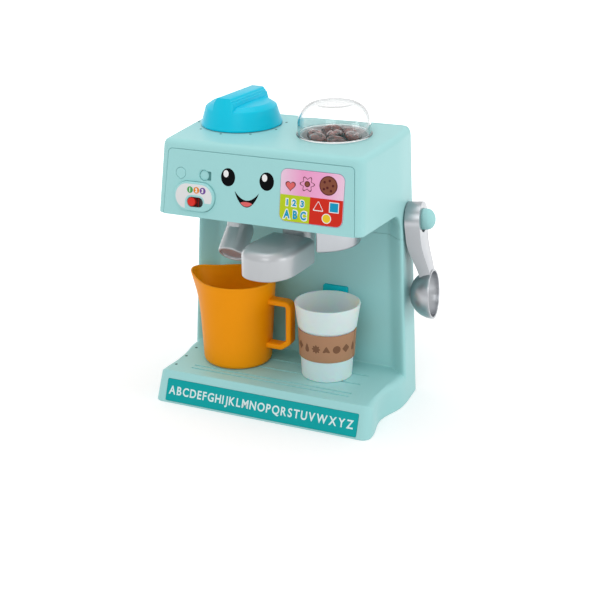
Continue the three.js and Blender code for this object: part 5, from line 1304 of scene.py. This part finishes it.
lay("count", [letter_row("123", 6.4, 0.05, 33.1, 52.2, 24.2, high=COUNT_TOP),
              letter_row("ABC", 8.6, 0.045, 30.4, 55.0, 11.2, 0.8, high=COUNT_TOP)], FIELD, "blue")
square = polygon(84.4, 27.3, 7.4, 4, 45)
disc = ellipse(77.0, 15.6, 5.0, 5.0, 48)
triangle = polygon(67.6, 25.6, 7.0, 3, 90, 0.8)
lay("shape_blue", [flat_print(square, high=FILL_TOP)], FIELD, "blue")
lay("shape_yellow", [flat_print(disc, high=FILL_TOP)], FIELD, "yellow")
lay("shape_lines", [line_print(outline, width, high=LINE_TOP) for outline, width in (
    (square, 0.8), (disc, 0.8), (triangle, 1.0))], FIELD, "white")

# Switch plate: a dot with a number for each place of the slider; painted shade in the slot and in the
# button's notch

PLACES, PLACE_V, PLACE_RADIUS = ((-74.8, "grass"), (-67.4, "orange"), (-60.1, "purple")), 28.7, 3.4
PLATE = FACE @ frame_at((0, 0, MODE_PROUD + LABEL_PROUD))
for number, (u, colour) in enumerate(PLACES, 1):
    left = u - (0.8 if number == 1 else 1.4)
    lay(f"place_{number}", [flat_print(ellipse(u, PLACE_V, PLACE_RADIUS, PLACE_RADIUS, 32))], PLATE, colour)
    digit = letter_row(str(number), 4.2, 0.06, left, u + 1.4, 26.6, 0.9, high=LINE_TOP)
    lay(f"place_number_{number}", [digit], PLATE, "white")
# Painted shade: a dark red-brown sheet on the slider's plate stands in for the shade inside the slot
lay("slot_painted_shade", [flat_print(rounded_outline(12.8, 12.2, SLIDER_CORNER, SLIDER), -1.0, -0.8)], FACE, "line",
    "slider")
# Painted shade: a darker mint sheet on the notch's floor stands in for the shade inside the notch
lay("notch_painted_shade", [flat_print(rounded_outline(8.1, 9.0, 1.0, NOTCH), -2.2, -2.0)], FACE, "shade")

# Marks round the dial and along the tray's left, and painted shade on the bean dish's floor

PIP_DEGREES, PIP_REACH, PIP_RADIUS = (193, 231, 269, 307, 345, 23), 48, 1.4
TRAY_MARKS, TRAY_MARK_RADIUS, DISH_PAINTED_SHADE = ((-117, 4), (-115.8, -22), (-114.6, -47.5)), 1.6, 31.8
pips = [(DIAL[0] + PIP_REACH * math.cos(turn), DIAL[1] + PIP_REACH * math.sin(turn))
        for turn in map(math.radians, PIP_DEGREES)]
# Painted shade: dark mint dots stand in for the shade in small moulded recesses round the dial
lay("dial_marks", [flat_print(ellipse(x, y, PIP_RADIUS, PIP_RADIUS, 24)) for x, y in pips], TOP, "dot")
# Painted shade: a dark brown disc on the white dish's floor stands in for the shade under the dome and the
# dish's back wall
lay("dish_painted_shade", [flat_print(ellipse(*BEANS, DISH_PAINTED_SHADE, DISH_PAINTED_SHADE, 64), -9.5, -9.3)], TOP, "roast")
lay("tray_marks", [flat_print(ellipse(x, y, TRAY_MARK_RADIUS, TRAY_MARK_RADIUS, 24)) for x, y in TRAY_MARKS],
    frame_at((0, 0, BASE_HEIGHT)), "dot")


def wrapped(outline, turn, height):
    """A filled outline wrapped round the sleeve: rings of the outline from its middle outwards and back."""
    outline = np.asarray(outline, float)
    rings = []
    upper = [(share, PRINT_HIGH) for share in (1, 0.8, 0.6, 0.4, 0.2, 0)]
    for share, lift in [(0, PRINT_LOW), (1, PRINT_LOW)] + upper:
        up = height + outline[:, 1] * share
        radius = sleeve_radius(up) + SLEEVE_THICK
        angle = turn + outline[:, 0] * share / radius
        reach = radius + lift
        rings.append(np.stack([CUP[0] + reach * np.cos(angle), CUP[1] + reach * np.sin(angle), TRAY_TOP + up],
                              -1))
    return ring_shape(rings, capped=False)


motifs = [polygon(0, 0, 5.0, 4, 90, 0.8), drop(0, 0, 5.2),
          polar(0, 0, lambda turn: 4.2 + 0.8 * np.cos(8 * turn)),
          polygon(0, -0.6, 5.2, 3, 90, 0.8), ellipse(0, 0, 4.4, 4.4)]
MARK_COUNT, MARK_PITCH, MARK_START, MARK_HEIGHT = 17, 21, 18, 39.6
ring = [wrapped(motifs[number % len(motifs)], math.radians(MARK_PITCH * number + MARK_START), MARK_HEIGHT)
        for number in range(MARK_COUNT)]
print_part("sleeve_marks", combine(*ring), "tan", "cup")

# Materials of the solids that stay

for name, material in {
    "base_plate": MINT, "circuit_board": BOARD, "display_lamp": WHITE, "dial_spindle": WHITE,
    "dial_clip": SCREW, "dial_detent": DARK, "mode_switch": DARK, "battery_box": DARK,
    "battery_door": MINT, "sensor_switch": DARK, "speaker": DARK,
    "portafilter_collar": WHITE, "wand_collar": WHITE, "contact_left": CONTACT,
    "contact_right": CONTACT, **{f"rear_screw_{n}": SCREW for n in range(1, 5)},
    **{f"foot_{n}": RUBBER for n in range(1, 5)}, **{f"battery_{n}": CELL for n in range(1, 4)},
    **{f"door_screw_{n}": SCREW for n in range(1, 3)},
}.items():
    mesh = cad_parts[name].data
    mesh.materials.clear()
    mesh.materials.append(material)

# Floor, light and camera

def seen_level(tree, plain):
    """One for camera, glossy and transmitted rays, and a plain level for every other ray."""
    path = node(tree, "ShaderNodeLightPath")
    first = node(tree, "ShaderNodeMath", operation="MAXIMUM")
    second = node(tree, "ShaderNodeMath", operation="MAXIMUM")
    level = node(tree, "ShaderNodeMapRange")
    level.inputs["To Min"].default_value = plain
    link(tree, (path.outputs["Is Camera Ray"], first.inputs[0]),
         (path.outputs["Is Glossy Ray"], first.inputs[1]), (first.outputs[0], second.inputs[0]),
         (path.outputs["Is Transmission Ray"], second.inputs[1]),
         (second.outputs[0], level.inputs["Value"]))
    return level.outputs["Result"]


FLOOR_REACH = 9000
FADE = (("From Min", 0.2), ("From Max", 0.9), ("To Min", 0.34), ("To Max", 1.0))
floor = raw_object("floor", (FLOOR_REACH * np.array([(-1, -1, 0), (1, -1, 0), (1, 1, 0), (-1, 1, 0)]),
                             [[0, 1, 2, 3]]))
floor_material = bpy.data.materials.new("floor")
floor_material.use_nodes = True
tree = floor_material.node_tree
tree.nodes.clear()
output = node(tree, "ShaderNodeOutputMaterial")
diffuse = node(tree, "ShaderNodeBsdfDiffuse", Color=(0.8, 0.8, 0.8, 1))
glow = node(tree, "ShaderNodeEmission", Color=(1, 1, 1, 1))
where = node(tree, "ShaderNodeTexCoord")
distance = node(tree, "ShaderNodeVectorMath", operation="LENGTH")
fade = node(tree, "ShaderNodeMapRange")
for label, value in FADE:
    fade.inputs[label].default_value = value
strength = node(tree, "ShaderNodeMath", operation="MULTIPLY")
both = node(tree, "ShaderNodeAddShader")
link(tree, (where.outputs["Object"], distance.inputs[0]), (distance.outputs["Value"], fade.inputs["Value"]),
     (seen_level(tree, 0.0), strength.inputs[0]), (fade.outputs["Result"], strength.inputs[1]),
     (strength.outputs[0], glow.inputs["Strength"]), (diffuse.outputs[0], both.inputs[0]),
     (glow.outputs[0], both.inputs[1]), (both.outputs[0], output.inputs["Surface"]))
floor.data.materials.append(floor_material)

world = bpy.data.worlds.new("studio")
bpy.context.scene.world = world
world.use_nodes = True
tree = world.node_tree
backdrop = tree.nodes["Background"]
backdrop.inputs["Color"].default_value = (1, 1, 1, 1)
link(tree, (seen_level(tree, 0.7), backdrop.inputs["Strength"]))


def area_light(name, place_at, aim, size, power):
    """A soft square lamp at a place, turned to an aim point."""
    data = bpy.data.lights.new(name, "AREA")
    data.shape, data.size, data.energy = "SQUARE", size, power
    lamp = bpy.data.objects.new(name, data)
    lamp.location = Vector(place_at)
    lamp.rotation_euler = (Vector(aim) - Vector(place_at)).to_track_quat("-Z", "Y").to_euler()
    bpy.context.scene.collection.objects.link(lamp)


area_light("right", (1.6, 0.1, 0.5), (0, 0, 0.16), 0.7, 4)
area_light("high", (0.3, -1.5, 1.3), (0, 0, 0.15), 0.9, 5)
area_light("over", (-0.2, 0.0, 1.8), (0, 0, 0.2), 1.0, 4.2)

CAMERA_PLACE, CAMERA_AIM = Vector((0.5165, -1.1242, 0.5708)), Vector((0.000484, 0.0354, 0.099971))
CAMERA_LENS, CAMERA_SENSOR = 72.147, 36.0
camera_data = bpy.data.cameras.new("camera")
camera_data.lens, camera_data.sensor_width = CAMERA_LENS, CAMERA_SENSOR
camera = bpy.data.objects.new("camera", camera_data)
camera.location = CAMERA_PLACE
camera.rotation_euler = (CAMERA_AIM - camera.location).to_track_quat("-Z", "Y").to_euler()
bpy.context.scene.collection.objects.link(camera)
bpy.context.scene.camera = camera
bpy.context.scene.view_settings.view_transform = "Standard"
